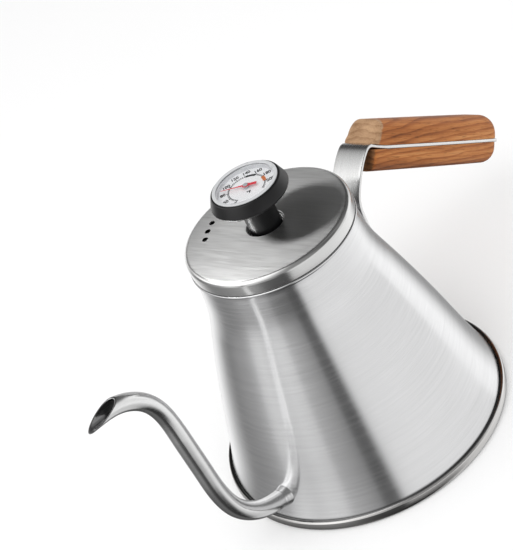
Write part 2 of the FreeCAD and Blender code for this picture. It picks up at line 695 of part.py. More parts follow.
def make_pointer_boss():
    return ring([
        (SPINDLE_R, BOSS_BOTTOM), (BOSS_R, BOSS_BOTTOM), (BOSS_R, POINTER_Z),
        (BOSS_NECK_R, POINTER_Z), (BOSS_NECK_R, POINTER_TOP), (BOSS_HEAD_R, POINTER_TOP),
        (BOSS_HEAD_R, BOSS_TOP, 0.25), (SPINDLE_R, BOSS_TOP)])


save("pointer", make_pointer())
save("pointer_boss", make_pointer_boss())
save("spindle", make_disc(SPINDLE_R, COIL_BOTTOM + 1.0, BOSS_TOP - 0.1))
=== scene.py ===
# Gooseneck kettle: a steel cone on a shallow cup, a curved spout, a strap handle with two
# wooden scales, and a lid whose knob is a dial thermometer.
# The kettle's axis is Z and its underside lies at z = 0. The spout points to -X and the
# handle to +X. Sizes are in millimetres and MM turns them into metres.
from math import acos, atan2, cos, hypot, pi, radians, sin, sqrt, tan

import bmesh
import bpy
import numpy as np
from mathutils import Matrix, Vector


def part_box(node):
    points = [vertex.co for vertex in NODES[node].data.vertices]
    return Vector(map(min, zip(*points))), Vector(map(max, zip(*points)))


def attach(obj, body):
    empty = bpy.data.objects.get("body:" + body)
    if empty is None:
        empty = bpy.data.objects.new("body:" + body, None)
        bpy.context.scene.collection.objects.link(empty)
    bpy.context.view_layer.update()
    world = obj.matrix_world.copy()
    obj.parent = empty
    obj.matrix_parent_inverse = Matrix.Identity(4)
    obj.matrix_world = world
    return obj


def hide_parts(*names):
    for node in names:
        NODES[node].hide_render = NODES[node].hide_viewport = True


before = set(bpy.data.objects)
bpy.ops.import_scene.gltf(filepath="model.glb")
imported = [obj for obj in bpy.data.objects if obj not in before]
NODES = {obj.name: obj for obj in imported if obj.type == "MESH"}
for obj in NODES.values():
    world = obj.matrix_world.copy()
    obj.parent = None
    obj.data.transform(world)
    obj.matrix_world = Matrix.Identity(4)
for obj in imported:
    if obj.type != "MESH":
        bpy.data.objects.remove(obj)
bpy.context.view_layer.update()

MM = 0.001
scene = bpy.context.scene


def top_of(node):
    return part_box(node)[1].z / MM


def bottom_of(node):
    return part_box(node)[0].z / MM


def radius_of(node):
    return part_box(node)[1].x / MM


# =====================================================================================
# shared dimensions
# =====================================================================================
BASE_R = radius_of("base_cap")
CURL_TOP = top_of("base_cap")
CUP_IN_R = radius_of("floor_plate")
FLOOR_TOP = top_of("floor_plate")
FLANGE_TOP = FLOOR_TOP + 0.6
RIM_TOP = top_of("body_shell")

# The handle has its own frame in the XZ plane: "along" runs down the tang away from the
# kettle, "off" is the distance above the tang's mid line.
TANG_ORIGIN = (80.302, 112.899)
TANG_ALONG = (0.797, -0.604)
TANG_OFF = (0.604, 0.797)


def handle_xz(along, off):
    return (TANG_ORIGIN[0] + TANG_ALONG[0] * along + TANG_OFF[0] * off,
            TANG_ORIGIN[1] + TANG_ALONG[1] * along + TANG_OFF[1] * off)


def handle_coords(x, z):
    """(along, off) of a point in the XZ plane."""
    dx, dz = x - TANG_ORIGIN[0], z - TANG_ORIGIN[1]
    return dx * TANG_ALONG[0] + dz * TANG_ALONG[1], dx * TANG_OFF[0] + dz * TANG_OFF[1]


# =====================================================================================
# curves and outlines
# =====================================================================================
def spline(points, start_slope=None, end_slope=None):
    """Cubic spline through 2-D points: a function of shares 0..1 giving points and tangents."""
    points = np.array(points, float)
    count = len(points)
    chords = np.diff(points, axis=0)
    knots = np.r_[0, np.cumsum(np.linalg.norm(chords, axis=1))]
    step = np.diff(knots)
    lhs, rhs = np.zeros((count, count)), np.zeros((count, points.shape[1]))
    for i in range(1, count - 1):
        before, after = step[i - 1], step[i]
        lhs[i, i - 1], lhs[i, i], lhs[i, i + 1] = after, 2 * (before + after), before
        rhs[i] = 3 * (after * chords[i - 1] / before + before * chords[i] / after)
    for end, beside, slope in ((0, 1, start_slope), (-1, -2, end_slope)):
        if slope is None:
            lhs[end, end], lhs[end, beside] = 2, 1
            rhs[end] = 3 * chords[end] / step[end]
        else:
            lhs[end, end] = 1
            rhs[end] = slope
    slopes = np.linalg.solve(lhs, rhs)

    def at(share):
        x = np.clip(np.atleast_1d(np.asarray(share, float)), 0, 1) * knots[-1]
        i = np.clip(np.searchsorted(knots, x, side="right") - 1, 0, count - 2)
        u = ((x - knots[i]) / step[i])[:, None]
        width = step[i][:, None]
        place = ((2 * u**3 - 3 * u**2 + 1) * points[i] + (u**3 - 2 * u**2 + u) * width * slopes[i]
                 + (-2 * u**3 + 3 * u**2) * points[i + 1] + (u**3 - u**2) * width * slopes[i + 1])
        tangent = ((6 * u**2 - 6 * u) * points[i] / width + (3 * u**2 - 4 * u + 1) * slopes[i]
                   + (-6 * u**2 + 6 * u) * points[i + 1] / width
                   + (3 * u**2 - 2 * u) * slopes[i + 1])
        return place, tangent / np.linalg.norm(tangent, axis=1)[:, None]
    return at


def by_length(curve, count):
    """Points and tangents evenly spaced along a spline, and its length."""
    shares = np.linspace(0, 1, 1200)
    points, _ = curve(shares)
    length = np.r_[0, np.cumsum(np.linalg.norm(np.diff(points, axis=0), axis=1))]
    even = np.interp(np.linspace(0, length[-1], count), length, shares)
    return curve(even) + (length[-1],)


def rounded(corners, steps=6):
    """Closed 2-D outline; a corner's third value, if given, is its rounding radius."""
    out = []
    for i, corner in enumerate(corners):
        x, z = corner[:2]
        if len(corner) == 2:
            out.append((x, z))
            continue
        radius = corner[2]
        before, after = corners[i - 1], corners[(i + 1) % len(corners)]
        len_before = hypot(before[0] - x, before[1] - z)
        len_after = hypot(after[0] - x, after[1] - z)
        in_x, in_z = (before[0] - x) / len_before, (before[1] - z) / len_before
        out_x, out_z = (after[0] - x) / len_after, (after[1] - z) / len_after
        angle = acos(max(-1, min(1, in_x * out_x + in_z * out_z)))
        reach = radius / tan(angle / 2)
        mid_x, mid_z = in_x + out_x, in_z + out_z
        mid_len = hypot(mid_x, mid_z)
        centre_x = x + mid_x / mid_len * radius / sin(angle / 2)
        centre_z = z + mid_z / mid_len * radius / sin(angle / 2)
        start = atan2(z + in_z * reach - centre_z, x + in_x * reach - centre_x)
        end = atan2(z + out_z * reach - centre_z, x + out_x * reach - centre_x)
        turn = (end - start + pi) % (2 * pi) - pi
        for k in range(steps + 1):
            w = start + turn * k / steps
            out.append((centre_x + radius * cos(w), centre_z + radius * sin(w)))
    return out


def split_sides(outline, sides, parts):
    """Divide the sides that start at the given points of a closed outline into equal parts."""
    out = []
    for i, here in enumerate(outline):
        out.append(here)
        if i in sides:
            there = outline[(i + 1) % len(outline)]
            out += [(here[0] + (there[0] - here[0]) * k / parts,
                     here[1] + (there[1] - here[1]) * k / parts) for k in range(1, parts)]
    return out


def ease(k):
    """Smooth step from 0 to 1."""
    k = min(1.0, max(0.0, k))
    return k * k * (3 - 2 * k)


def end_inset(radius, distance):
    """How far a quarter round draws an edge in, at a distance from its end."""
    return radius - sqrt(max(0.0, radius**2 - (radius - min(radius, distance)) ** 2))


# =====================================================================================
# meshes
# =====================================================================================
def finish_object(mesh, name, material, body, slot, replaces=None, sharp=35.0):
    for polygon in mesh.polygons:
        polygon.use_smooth = True
    mesh.set_sharp_from_angle(angle=radians(sharp))
    ob = bpy.data.objects.new(name, mesh)
    scene.collection.objects.link(ob)
    mesh.materials.clear()
    mesh.materials.append(material)
    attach(ob, body)
    if replaces:
        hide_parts(replaces)
    return ob


def to_mesh(bm, name):
    mesh = bpy.data.meshes.new(name)
    bm.to_mesh(mesh)
    bm.free()
    return mesh


def finish_mesh(bm, name, *args, **settings):
    bmesh.ops.remove_doubles(bm, verts=bm.verts, dist=1e-8)
    bmesh.ops.recalc_face_normals(bm, faces=bm.faces)
    return finish_object(to_mesh(bm, name), name, *args, **settings)


def join_rings(bm, rings, loop=False):
    """Quads between closed rings of vertices; the end rings are joined if loop, else capped."""
    for a, b in zip(rings, rings[1:] + rings[:1] if loop else rings[1:]):
        for k in range(len(a)):
            j = (k + 1) % len(a)
            bm.faces.new((a[k], a[j], b[j], b[k]))
    if not loop:
        bm.faces.new(rings[0][::-1])
        bm.faces.new(rings[-1])


def skin(rows, loop=False):
    """Mesh over rows of points in millimetres."""
    bm = bmesh.new()
    join_rings(bm, [[bm.verts.new([c * MM for c in p]) for p in row] for row in rows], loop)
    return bm


def lathe_bm(outline, seg):
    """Closed (radius, z) outline turned about Z. Points on the axis become single vertices."""
    bm = bmesh.new()
    rings = []
    for r, z in outline:
        if r < 1e-6:
            rings.append([bm.verts.new((0, 0, z * MM))] * seg)
        else:
            rings.append([bm.verts.new((r * MM * cos(2 * pi * k / seg),
                                        r * MM * sin(2 * pi * k / seg), z * MM))
                          for k in range(seg)])
    for a, b in zip(rings, rings[1:] + rings[:1]):
        a_on_axis, b_on_axis = a[0] is a[1], b[0] is b[1]
        if a_on_axis and b_on_axis:
            continue
        for k in range(seg):
            j = (k + 1) % seg
            if a_on_axis:
                bm.faces.new((a[k], b[j], b[k]))
            elif b_on_axis:
                bm.faces.new((a[k], a[j], b[k]))
            else:
                bm.faces.new((a[k], a[j], b[j], b[k]))
    return bm


def lathe(name, corners, *args, seg=192, steps=6, **settings):
    """Turned piece; its corners are (radius, z) or (radius, z, rounding radius)."""
    return finish_mesh(lathe_bm(rounded(corners, steps), seg), name, *args, **settings)


def rod_bm(start, end, radius, seg=32):
    """Closed cylinder between two points."""
    start, end = Vector(start), Vector(end)
    axis = (end - start).normalized()
    side = axis.orthogonal().normalized()
    other = axis.cross(side)
    bm = bmesh.new()
    rings = [[bm.verts.new((centre + side * radius * cos(2 * pi * k / seg)
                            + other * radius * sin(2 * pi * k / seg)) * MM) for k in range(seg)]
             for centre in (start, end)]
    join_rings(bm, rings)
    return bm


def cut_mesh(bm, cutters, name):
    """Exact boolean difference of a mesh with closed cutter meshes; returns the new mesh."""
    def temporary(source, label):
        bmesh.ops.recalc_face_normals(source, faces=source.faces)
        ob = bpy.data.objects.new(label, to_mesh(source, label))
        scene.collection.objects.link(ob)
        return ob

    ob = temporary(bm, name + "_raw")
    tools = []
    for i, cutter in enumerate(cutters):
        tool = temporary(cutter, name + "_cut%d" % i)
        mod = ob.modifiers.new("cut%d" % i, "BOOLEAN")
        mod.operation, mod.solver, mod.object = "DIFFERENCE", "EXACT", tool
        tools.append(tool)
    bpy.context.view_layer.update()
    graph = bpy.context.evaluated_depsgraph_get()
    out = bpy.data.meshes.new_from_object(ob.evaluated_get(graph))
    out.name = name
    for used in tools + [ob]:
        data = used.data
        bpy.data.objects.remove(used)
        bpy.data.meshes.remove(data)
    return out


# =====================================================================================
# shader building
# =====================================================================================
class Shader:
    """Builds a node tree; values may be numbers or sockets."""
    coord = None                      # the coordinates that patterns are laid in

    def __init__(self, tree):
        self.tree = tree
        tree.nodes.clear()

    def node(self, kind, **props):
        n = self.tree.nodes.new(kind)
        for key, value in props.items():
            setattr(n, key, value)
        return n

    def link(self, source, target):
        self.tree.links.new(source, target)

    def put(self, socket, value):
        if isinstance(value, bpy.types.NodeSocket):
            self.link(value, socket)
        else:
            socket.default_value = value

    def math(self, op, a, b=0.0):
        n = self.node("ShaderNodeMath", operation=op)
        for socket, value in zip(n.inputs, (a, b, 0.0)):
            self.put(socket, value)
        return n.outputs[0]

    def plus(self, a, b):
        return self.math("ADD", a, b)

    def minus(self, a, b):
        return self.math("SUBTRACT", a, b)

    def times(self, a, b):
        return self.math("MULTIPLY", a, b)

    def root_of_squares(self, a, b):
        return self.math("SQRT", self.plus(self.times(a, a), self.times(b, b)))

    def vmath(self, op, a, b=(0, 0, 0)):
        n = self.node("ShaderNodeVectorMath", operation=op)
        self.put(n.inputs[0], a)
        self.put(n.inputs[1], b)
        return n.outputs["Value" if op == "DOT_PRODUCT" else "Vector"]

    def combine(self, x, y, z):
        n = self.node("ShaderNodeCombineXYZ")
        for socket, value in zip(n.inputs, (x, y, z)):
            self.put(socket, value)
        return n.outputs[0]

    def axis(self, name, vector=None):
        n = self.node("ShaderNodeSeparateXYZ")
        self.put(n.inputs[0], self.coord if vector is None else vector)
        return n.outputs[name]

    def noise(self, vector, scale, detail, rough):
        n = self.node("ShaderNodeTexNoise")
        self.put(n.inputs["Vector"], vector)
        n.inputs["Scale"].default_value = scale
        n.inputs["Detail"].default_value = detail
        n.inputs["Roughness"].default_value = rough
        return n.outputs["Fac"]

    def streaks(self, vector, stretch, detail, rough, offset=(0, 0, 0)):
        """Noise with its own frequency on each axis."""
        n = self.node("ShaderNodeMapping")
        self.put(n.inputs["Vector"], vector)
        n.inputs["Scale"].default_value = stretch
        n.inputs["Location"].default_value = offset
        return self.noise(n.outputs[0], scale=1.0, detail=detail, rough=rough)

    def ramp(self, factor, stops):
        """Stops are (position, grey value or colour)."""
        n = self.node("ShaderNodeValToRGB")
        elements = n.color_ramp.elements
        while len(elements) < len(stops):
            elements.new(0.5)
        for element, (position, c) in zip(elements, stops):
            element.position = position
            element.color = (c, c, c, 1) if isinstance(c, (int, float)) else (*c, 1)
        self.put(n.inputs[0], factor)
        return n.outputs[0]

    def mix(self, factor, a, b, kind="RGBA"):
        n = self.node("ShaderNodeMix", data_type=kind)
        first, output = {"FLOAT": (2, 0), "VECTOR": (4, 1), "RGBA": (6, 2)}[kind]
        self.put(n.inputs[0], factor)
        for socket, value in ((n.inputs[first], a), (n.inputs[first + 1], b)):
            if kind == "RGBA" and isinstance(value, tuple):
                value = value + (1,)
            self.put(socket, value)
        return n.outputs[output]

    def bump(self, height, strength, distance=0.00004):
        n = self.node("ShaderNodeBump")
        self.put(n.inputs["Height"], height)
        self.put(n.inputs["Strength"], strength)
        n.inputs["Distance"].default_value = distance
        return n.outputs[0]

    def smooth(self, x, lo, hi):
        n = self.node("ShaderNodeMapRange", interpolation_type="SMOOTHSTEP")
        self.put(n.inputs["Value"], x)
        n.inputs["From Min"].default_value = lo
        n.inputs["From Max"].default_value = hi
        return n.outputs["Result"]

    def fall(self, x, lo, hi):
        """1 below lo, 0 above hi."""
        return self.minus(1.0, self.smooth(x, lo, hi))


def new_material(name):
    mat = bpy.data.materials.new(name)
    mat.use_nodes = True
    return mat


class Material(Shader):
    """Principled material with object coordinates, in metres."""
    INPUTS = {"base": "Base Color", "rough": "Roughness", "metal": "Metallic",
              "aniso": "Anisotropic", "tangent": "Tangent", "normal": "Normal",
              "spec": "Specular IOR Level", "coat": "Coat Weight",
              "coat_rough": "Coat Roughness", "glow": "Emission Color",
              "glow_strength": "Emission Strength"}

    def __init__(self, name):
        self.mat = new_material(name)
        super().__init__(self.mat.node_tree)
        output = self.node("ShaderNodeOutputMaterial")
        self.bsdf = self.node("ShaderNodeBsdfPrincipled")
        self.link(self.bsdf.outputs["BSDF"], output.inputs["Surface"])
        self.coord = self.node("ShaderNodeTexCoord").outputs["Object"]

    def set(self, **values):
        for key, value in values.items():
            self.put(self.bsdf.inputs[self.INPUTS[key]], value)


def scaled(colour, factor):
    return tuple(c * factor for c in colour)


def brushed(name, base, rough, aniso, tone, rough_amp=0.10, bump=0.05, along_strap=False):
    """Metal brushed in rings round Z, or lengthwise on the strap. Returns the Material."""
    m = Material(name)
    if along_strap:
        fine, coarse, tangent = (60, 3200, 60), (14, 700, 14), (0.0, 1.0, 0.0)
    else:
        fine, coarse, tangent = (60, 60, 3200), (14, 14, 700), (0.0, 0.0, 1.0)
    fine_lines = m.streaks(m.coord, fine, detail=2.0, rough=0.6)
    coarse_lines = m.streaks(m.coord, coarse, detail=3.0, rough=0.55, offset=(3.1, 7.7, 1.3))
    lines = m.smooth(m.plus(m.times(fine_lines, 0.55), m.times(coarse_lines, 0.45)),
                     lo=0.30, hi=0.70)
    cloud = m.noise(m.coord, scale=35.0, detail=3.0, rough=0.5)
    colour = m.mix(lines, scaled(base, 1 - tone), scaled(base, 1 + tone))
    m.base = m.mix(m.times(m.smooth(cloud, lo=0.35, hi=0.7), 0.05), colour, scaled(base, 0.8))
    roughness = m.plus(m.times(m.minus(lines, 0.5), rough_amp), rough)
    roughness = m.plus(roughness, m.times(m.minus(cloud, 0.5), 0.05))
    m.set(base=m.base, rough=roughness, metal=1.0, aniso=aniso, tangent=m.combine(*tangent),
          normal=m.bump(lines, strength=bump))
    return m


def simple_metal(name, base, rough):
    """Unbrushed metal with a fine, even speckle."""
    m = Material(name)
    speckle = m.streaks(m.coord, (900, 900, 900), detail=3.0, rough=0.6)
    m.set(base=m.mix(m.smooth(speckle, lo=0.3, hi=0.7), scaled(base, 1 - 0.05), base),
          metal=1.0, rough=m.plus(m.times(speckle, 0.12), rough - 0.06),
          normal=m.bump(speckle, strength=0.08, distance=0.00003))
    return m.mat


def moulding(name, base, rough, bump, spec=0.5, tone=0.25):
    """Moulded or painted surface with a fine texture and a faint cloudiness."""
    m = Material(name)
    texture = m.streaks(m.coord, (2600, 2600, 2600), detail=2.0, rough=0.5)
    cloud = m.noise(m.coord, scale=90.0, detail=3.0, rough=0.5)
    colour = m.mix(m.smooth(cloud, lo=0.3, hi=0.75),
                   scaled(base, 1 - tone), scaled(base, 1 + tone))
    m.set(base=colour, spec=spec, rough=m.plus(m.times(m.minus(cloud, 0.5), 0.16), rough),
          normal=m.bump(texture, strength=bump))
    return m.mat


# =====================================================================================
# materials
# =====================================================================================
def cone_steel():
    m = brushed("steel_cone", base=(0.66, 0.66, 0.665), rough=0.20, aniso=0.70, tone=0.05,
                rough_amp=0.07, bump=0.04)
    # painted shade: colour darkened at the foot, where the cone runs into the cup
    foot = m.smooth(m.axis("Z"), lo=0.0052, hi=0.0066)
    m.set(base=m.mix(foot, (0.16, 0.16, 0.16), m.base))
    return m.mat


def base_steel():
    m = brushed("steel_base", base=(0.60, 0.59, 0.58), rough=0.15, aniso=0.2, tone=0.06,
                rough_amp=0.04)
    # painted shade: colour darkened inside the curled lip
    x, y, z = m.axis("X"), m.axis("Y"), m.axis("Z")
    inside = m.times(m.fall(m.root_of_squares(x, y), lo=0.0737, hi=0.0741),
                     m.smooth(z, lo=0.0044, hi=0.0048))
    m.set(base=m.mix(inside, m.base, (0.10, 0.10, 0.10)))
    return m.mat


def spout_steel():
    m = brushed("steel_spout", base=(0.70, 0.70, 0.70), rough=0.20, aniso=0.3, tone=0.03,
                rough_amp=0.05, bump=0.02)
    # painted light: seen only in reflections in other steel, the lower spout's faces towards the
    # cone (+X) glow white, which paints a bright reflected streak on the cone
    mirrored = m.node("ShaderNodeLightPath").outputs["Is Glossy Ray"]
    normal_x = m.axis("X", m.node("ShaderNodeNewGeometry").outputs["Normal"])
    painted_glow = m.times(m.smooth(normal_x, lo=-0.1, hi=0.5), m.fall(m.axis("Z"), lo=0.085, hi=0.122))
    m.set(glow=(1.0, 1.0, 1.0, 1), glow_strength=m.times(mirrored, m.times(painted_glow, 0.62)))
    return m.mat


def lid_steel():
    """Brushed along Y on the flat top, polished round the edge and skirt."""
    m = Material("steel_lid")
    normal_z = m.axis("Z", m.node("ShaderNodeNewGeometry").outputs["Normal"])
    flat = m.smooth(normal_z, lo=0.90, hi=0.995)
    first = m.streaks(m.coord, (2600, 55, 40), detail=2.0, rough=0.6)
    second = m.streaks(m.coord, (1500, 30, 20), detail=3.0, rough=0.6, offset=(1.7, 4.1, 0.2))
    third = m.streaks(m.coord, (2100, 110, 40), detail=2.0, rough=0.6, offset=(9.7, 2.1, 0.2))
    total = m.plus(m.times(first, 0.40), m.plus(m.times(second, 0.30), m.times(third, 0.30)))
    straight = m.smooth(total, lo=0.36, hi=0.64)
    ring = m.streaks(m.coord, (50, 50, 2600), detail=2.0, rough=0.6)
    lines = m.mix(flat, ring, straight, kind="FLOAT")
    rough = m.mix(flat, m.plus(m.times(ring, 0.05), 0.15), m.plus(m.times(straight, 0.04), 0.29),
                  kind="FLOAT")
    m.set(base=m.mix(lines, (0.58, 0.58, 0.575), (0.65, 0.65, 0.645)), metal=1.0, rough=rough,
          aniso=m.mix(flat, 0.3, 0.80, kind="FLOAT"),
          tangent=m.mix(flat, (0.0, 0.0, 1.0), (1.0, 0.0, 0.0), kind="VECTOR"),
          normal=m.bump(lines, strength=m.mix(flat, 0.06, 0.03, kind="FLOAT")))
    return m.mat


def lens():
    """Clear cover: see-through, with a little gloss that grows at grazing angles."""
    mat = new_material("lens")
    m = Shader(mat.node_tree)
    output = m.node("ShaderNodeOutputMaterial")
    clear = m.node("ShaderNodeBsdfTransparent")
    blend = m.node("ShaderNodeMixShader")
    weight = m.node("ShaderNodeLayerWeight")
    weight.inputs["Blend"].default_value = 0.18
    gloss = m.node("ShaderNodeBsdfGlossy")
    gloss.inputs["Roughness"].default_value = 0.03
    m.link(m.plus(m.times(weight.outputs["Facing"], 0.25), 0.03), blend.inputs[0])
    m.link(clear.outputs[0], blend.inputs[1])
    m.link(gloss.outputs[0], blend.inputs[2])
    m.link(blend.outputs[0], output.inputs["Surface"])
    return mat


def wood(name, seed, upper):
    """Wood whose grain runs along the handle."""
    m = Material(name)
    rel = m.vmath("SUBTRACT", m.coord, (TANG_ORIGIN[0] * MM, 0.0, TANG_ORIGIN[1] * MM))
    along = m.vmath("DOT_PRODUCT", rel, (TANG_ALONG[0], 0, TANG_ALONG[1]))
    off = m.vmath("DOT_PRODUCT", rel, (TANG_OFF[0], 0, TANG_OFF[1]))
    across = m.axis("Y", rel)
    grain = m.combine(along, across, off)
    # growth rings cut at a slight angle to the handle
    warp = m.streaks(grain, (11, 45, 45), detail=3.0, rough=0.5, offset=(seed, seed * 2.3, 0.7))
    ring_y = m.plus(across, m.times(along, 0.05))
    ring_z = m.plus(m.plus(off, 0.026), m.times(along, -0.09))
    rings = m.plus(m.times(m.root_of_squares(ring_y, ring_z), 330.0), m.times(warp, 3.2))
    growth = m.math("FRACT", rings)
    late = m.times(m.smooth(growth, lo=0.35, hi=0.95), m.fall(growth, lo=0.955, hi=1.0))
    fibre = m.streaks(grain, (42, 1500, 1500), detail=3.0, rough=0.6, offset=(seed, 0, 0))
    band = m.streaks(grain, (7, 120, 120), detail=3.0, rough=0.55, offset=(0, seed, 4.0))
    pores = m.streaks(grain, (150, 3600, 3600), detail=1.0, rough=0.5, offset=(seed, 2, 0))
    pore = m.smooth(pores, lo=0.60, hi=0.70)
    dark = m.plus(m.times(late, 0.22), m.plus(m.times(fibre, 0.55), m.times(band, 1.15)))
    dark = m.minus(dark, 0.36)
    colour = m.ramp(dark, [(0.16, (0.62, 0.29, 0.105)), (0.40, (0.47, 0.180, 0.052)),
                           (0.60, (0.34, 0.110, 0.028)), (0.80, (0.20, 0.060, 0.015)),
                           (0.95, (0.11, 0.033, 0.010))])
    # ends next to the kettle: the upper scale's raked end is coloured paler; the lower scale's end
    # is painted shade, dark brown for the shade behind the strap
    ragged = m.streaks(grain, (60, 200, 200), detail=2.0, rough=0.5)
    if upper:
        depth = m.minus(along, m.times(m.minus(off, 0.0015), 0.433))
        lo, hi = -0.0012, 0.0004
        end_stops = [(0.2, (0.53, 0.36, 0.22)), (0.55, (0.41, 0.265, 0.155)),
                     (0.9, (0.27, 0.155, 0.08))]
    else:
        # painted shade: the lower scale's end, behind the strap's riser, is painted dark brown
        depth = along
        lo, hi = -0.0042, -0.0030
        end_stops = [(0.2, (0.20, 0.10, 0.045)), (0.55, (0.12, 0.058, 0.026)),
                     (0.9, (0.06, 0.03, 0.014))]
    depth = m.plus(depth, m.times(m.minus(ragged, 0.5), 0.003))
    end_tint_and_shade = m.fall(depth, lo, hi)
    colour = m.mix(m.times(end_tint_and_shade, 0.85), colour, m.ramp(dark, end_stops))
    colour = m.mix(m.times(pore, 0.55), colour, (0.085, 0.032, 0.012))
    rough = m.plus(m.times(fibre, 0.20), m.plus(m.times(pore, 0.2), 0.30))
    height = m.minus(m.times(fibre, 0.4), m.times(pore, 0.8))
    height = m.plus(height, m.times(late, 0.25))
    m.set(base=colour, rough=rough, spec=0.12, coat=0.02, coat_rough=0.25,
          normal=m.bump(height, strength=0.35, distance=0.00012))
    return m.mat


mat_body = cone_steel()
mat_base = base_steel()
mat_inner = brushed("steel_inner", base=(0.60, 0.60, 0.60), rough=0.36, aniso=0.5, tone=0.08).mat
mat_spout = spout_steel()
mat_strap = brushed("steel_strap", base=(0.68, 0.68, 0.675), rough=0.27, aniso=0.6, tone=0.05,
                    rough_amp=0.04, bump=0.02, along_strap=True).mat
mat_spreader = simple_metal("aluminium_disc", (0.75, 0.75, 0.76), rough=0.4)
mat_fastener = simple_metal("steel_screw", (0.52, 0.52, 0.53), rough=0.3)
mat_probe = simple_metal("steel_probe", (0.70, 0.70, 0.70), rough=0.22)
mat_can = simple_metal("steel_can", (0.70, 0.70, 0.70), rough=0.25)
mat_brass = simple_metal("brass_bush", (0.72, 0.52, 0.22), rough=0.3)
mat_coil = simple_metal("bimetal", (0.55, 0.46, 0.36), rough=0.35)
mat_hub = moulding("hub_grey", (0.42, 0.44, 0.46), rough=0.25, bump=0.03, spec=0.8, tone=0.05)
mat_bezel = moulding("bezel_metal", (0.56, 0.57, 0.58), rough=0.28, bump=0.03, spec=0.8,
                     tone=0.03)
mat_lid = lid_steel()
mat_black = moulding("black_moulding", (0.005, 0.005, 0.0054), rough=0.36, bump=0.14, spec=0.38)
mat_silicone = moulding("silicone", (0.06, 0.06, 0.062), rough=0.55, bump=0.05)
mat_spacer = moulding("spacer", (0.6, 0.6, 0.6), rough=0.5, bump=0.12)
mat_dial = moulding("dial_enamel", (0.86, 0.865, 0.88), rough=0.42, bump=0.02, tone=0.02)
mat_gasket = moulding("gasket", (0.70, 0.71, 0.73), rough=0.5, bump=0.05, tone=0.05)
mat_print = moulding("dial_print", (0.012, 0.014, 0.016), rough=0.6, bump=0.02)
mat_accent = moulding("dial_accent", (0.62, 0.17, 0.045), rough=0.6, bump=0.02, tone=0.1)
mat_pointer = moulding("pointer_enamel", (0.72, 0.035, 0.055), rough=0.35, bump=0.02, tone=0.08)
mat_glass = lens()
mat_wood_up = wood("wood_upper", seed=1.0, upper=True)
mat_wood_low = wood("wood_lower", seed=5.3, upper=False)

# =====================================================================================
# spout centre line
# =====================================================================================
# (x, z) from inside the cone to past the tip
SPOUT = [(-60.0, 15.3), (-68.5, 17.4), (-76.5, 20.6), (-84.3, 25.2), (-91.1, 31.5),
         (-96.4, 39.5), (-99.6, 49.2), (-101.1, 60.2), (-101.6, 72.0), (-102.1, 84.0),
         (-102.55, 95.5), (-103.2, 106.0), (-105.0, 115.5), (-109.3, 124.2), (-116.0, 131.3),
         (-123.0, 135.8), (-130.6, 138.6), (-138.5, 140.6), (-146.0, 142.2)]
# (share of the length, outer radius)
SPOUT_R = [(0.0, 4.75), (0.40, 4.68), (0.58, 4.65), (0.67, 4.42), (0.76, 4.25), (1.0, 4.15)]
spine_points, spine_tangents, SPOUT_LEN = by_length(spline(SPOUT), 700)


def spine_at(share):
    """Point and unit tangent of the centre line."""
    x = np.clip(share, 0, 1) * (len(spine_points) - 1)
    i = int(min(x, len(spine_points) - 2))
    f = x - i
    point = spine_points[i] * (1 - f) + spine_points[i + 1] * f
    tangent = spine_tangents[i] * (1 - f) + spine_tangents[i + 1] * f
    return point, tangent / np.linalg.norm(tangent)


def tube_point(share, angle, grow):
    """Point on the tube, grown by grow; angle 0 is +Y, pi / 2 is the right of the path in XZ."""
    radius = float(np.interp(share, [s for s, _ in SPOUT_R], [r for _, r in SPOUT_R])) + grow
    point, tangent = spine_at(share)
    return (point[0] + tangent[1] * radius * sin(angle), radius * cos(angle),
            point[1] - tangent[0] * radius * sin(angle))


def share_at_x(x):
    """Share of the centre line's lower part that lies at x."""
    shares = np.linspace(0, 0.4, 2000)
    places = np.array([spine_at(share)[0][0] for share in shares])
    return float(np.interp(-x, -places, shares))


# =====================================================================================
# kettle body
# =====================================================================================
WALL = 0.8
# (radius, z) of the outer face: cone, neck arc, foot of the rim bead
CONE = [(72.9, 5.0), (63.65, 35.96), (54.8, 66.78), (46.52, 92.0)]
NECK = [(44.02, 100.95), (42.58, 110.0)]
RIM_FOOT = (41.30, 122.9)
RIM_R, MOUTH_R = 42.7, 40.5


def outer_wall():
    """(radius, z) of the outer face from the flange to the neck's top."""
    cone, _, _ = by_length(spline(CONE, start_slope=(-0.36, 0.93), end_slope=(-0.340, 1.0)), 44)
    points = [tuple(p) for p in cone]
    # neck arc through three points
    (x1, z1), (x2, z2), (x3, z3) = CONE[-1], *NECK
    d = 2 * (x1 * (z2 - z3) + x2 * (z3 - z1) + x3 * (z1 - z2))
    sq1, sq2, sq3 = x1**2 + z1**2, x2**2 + z2**2, x3**2 + z3**2
    centre_x = (sq1 * (z2 - z3) + sq2 * (z3 - z1) + sq3 * (z1 - z2)) / d
    centre_z = (sq1 * (x3 - x2) + sq2 * (x1 - x3) + sq3 * (x2 - x1)) / d
    radius = hypot(x1 - centre_x, z1 - centre_z)
    start, end = atan2(z1 - centre_z, x1 - centre_x), atan2(z3 - centre_z, x3 - centre_x)
    turn = (end - start + pi) % (2 * pi) - pi
    points += [(centre_x + radius * cos(start + turn * k / 14),
                centre_z + radius * sin(start + turn * k / 14)) for k in range(1, 15)]
    points += [(x3 + (RIM_FOOT[0] - x3) * k / 6, z3 + (RIM_FOOT[1] - z3) * k / 6)
               for k in range(1, 6)]
    return points


def offset_line(points, distance):
    """The line moved to its left."""
    out = []
    for i, p in enumerate(points):
        a, b = points[max(0, i - 1)], points[min(len(points) - 1, i + 1)]
        along = Vector((b[0] - a[0], b[1] - a[1])).normalized()
        out.append((p[0] - along.y * distance, p[1] + along.x * distance))
    return out


OUTER = outer_wall()


def cone_r(z):
    return float(np.interp(z, [p[1] for p in OUTER], [p[0] for p in OUTER]))


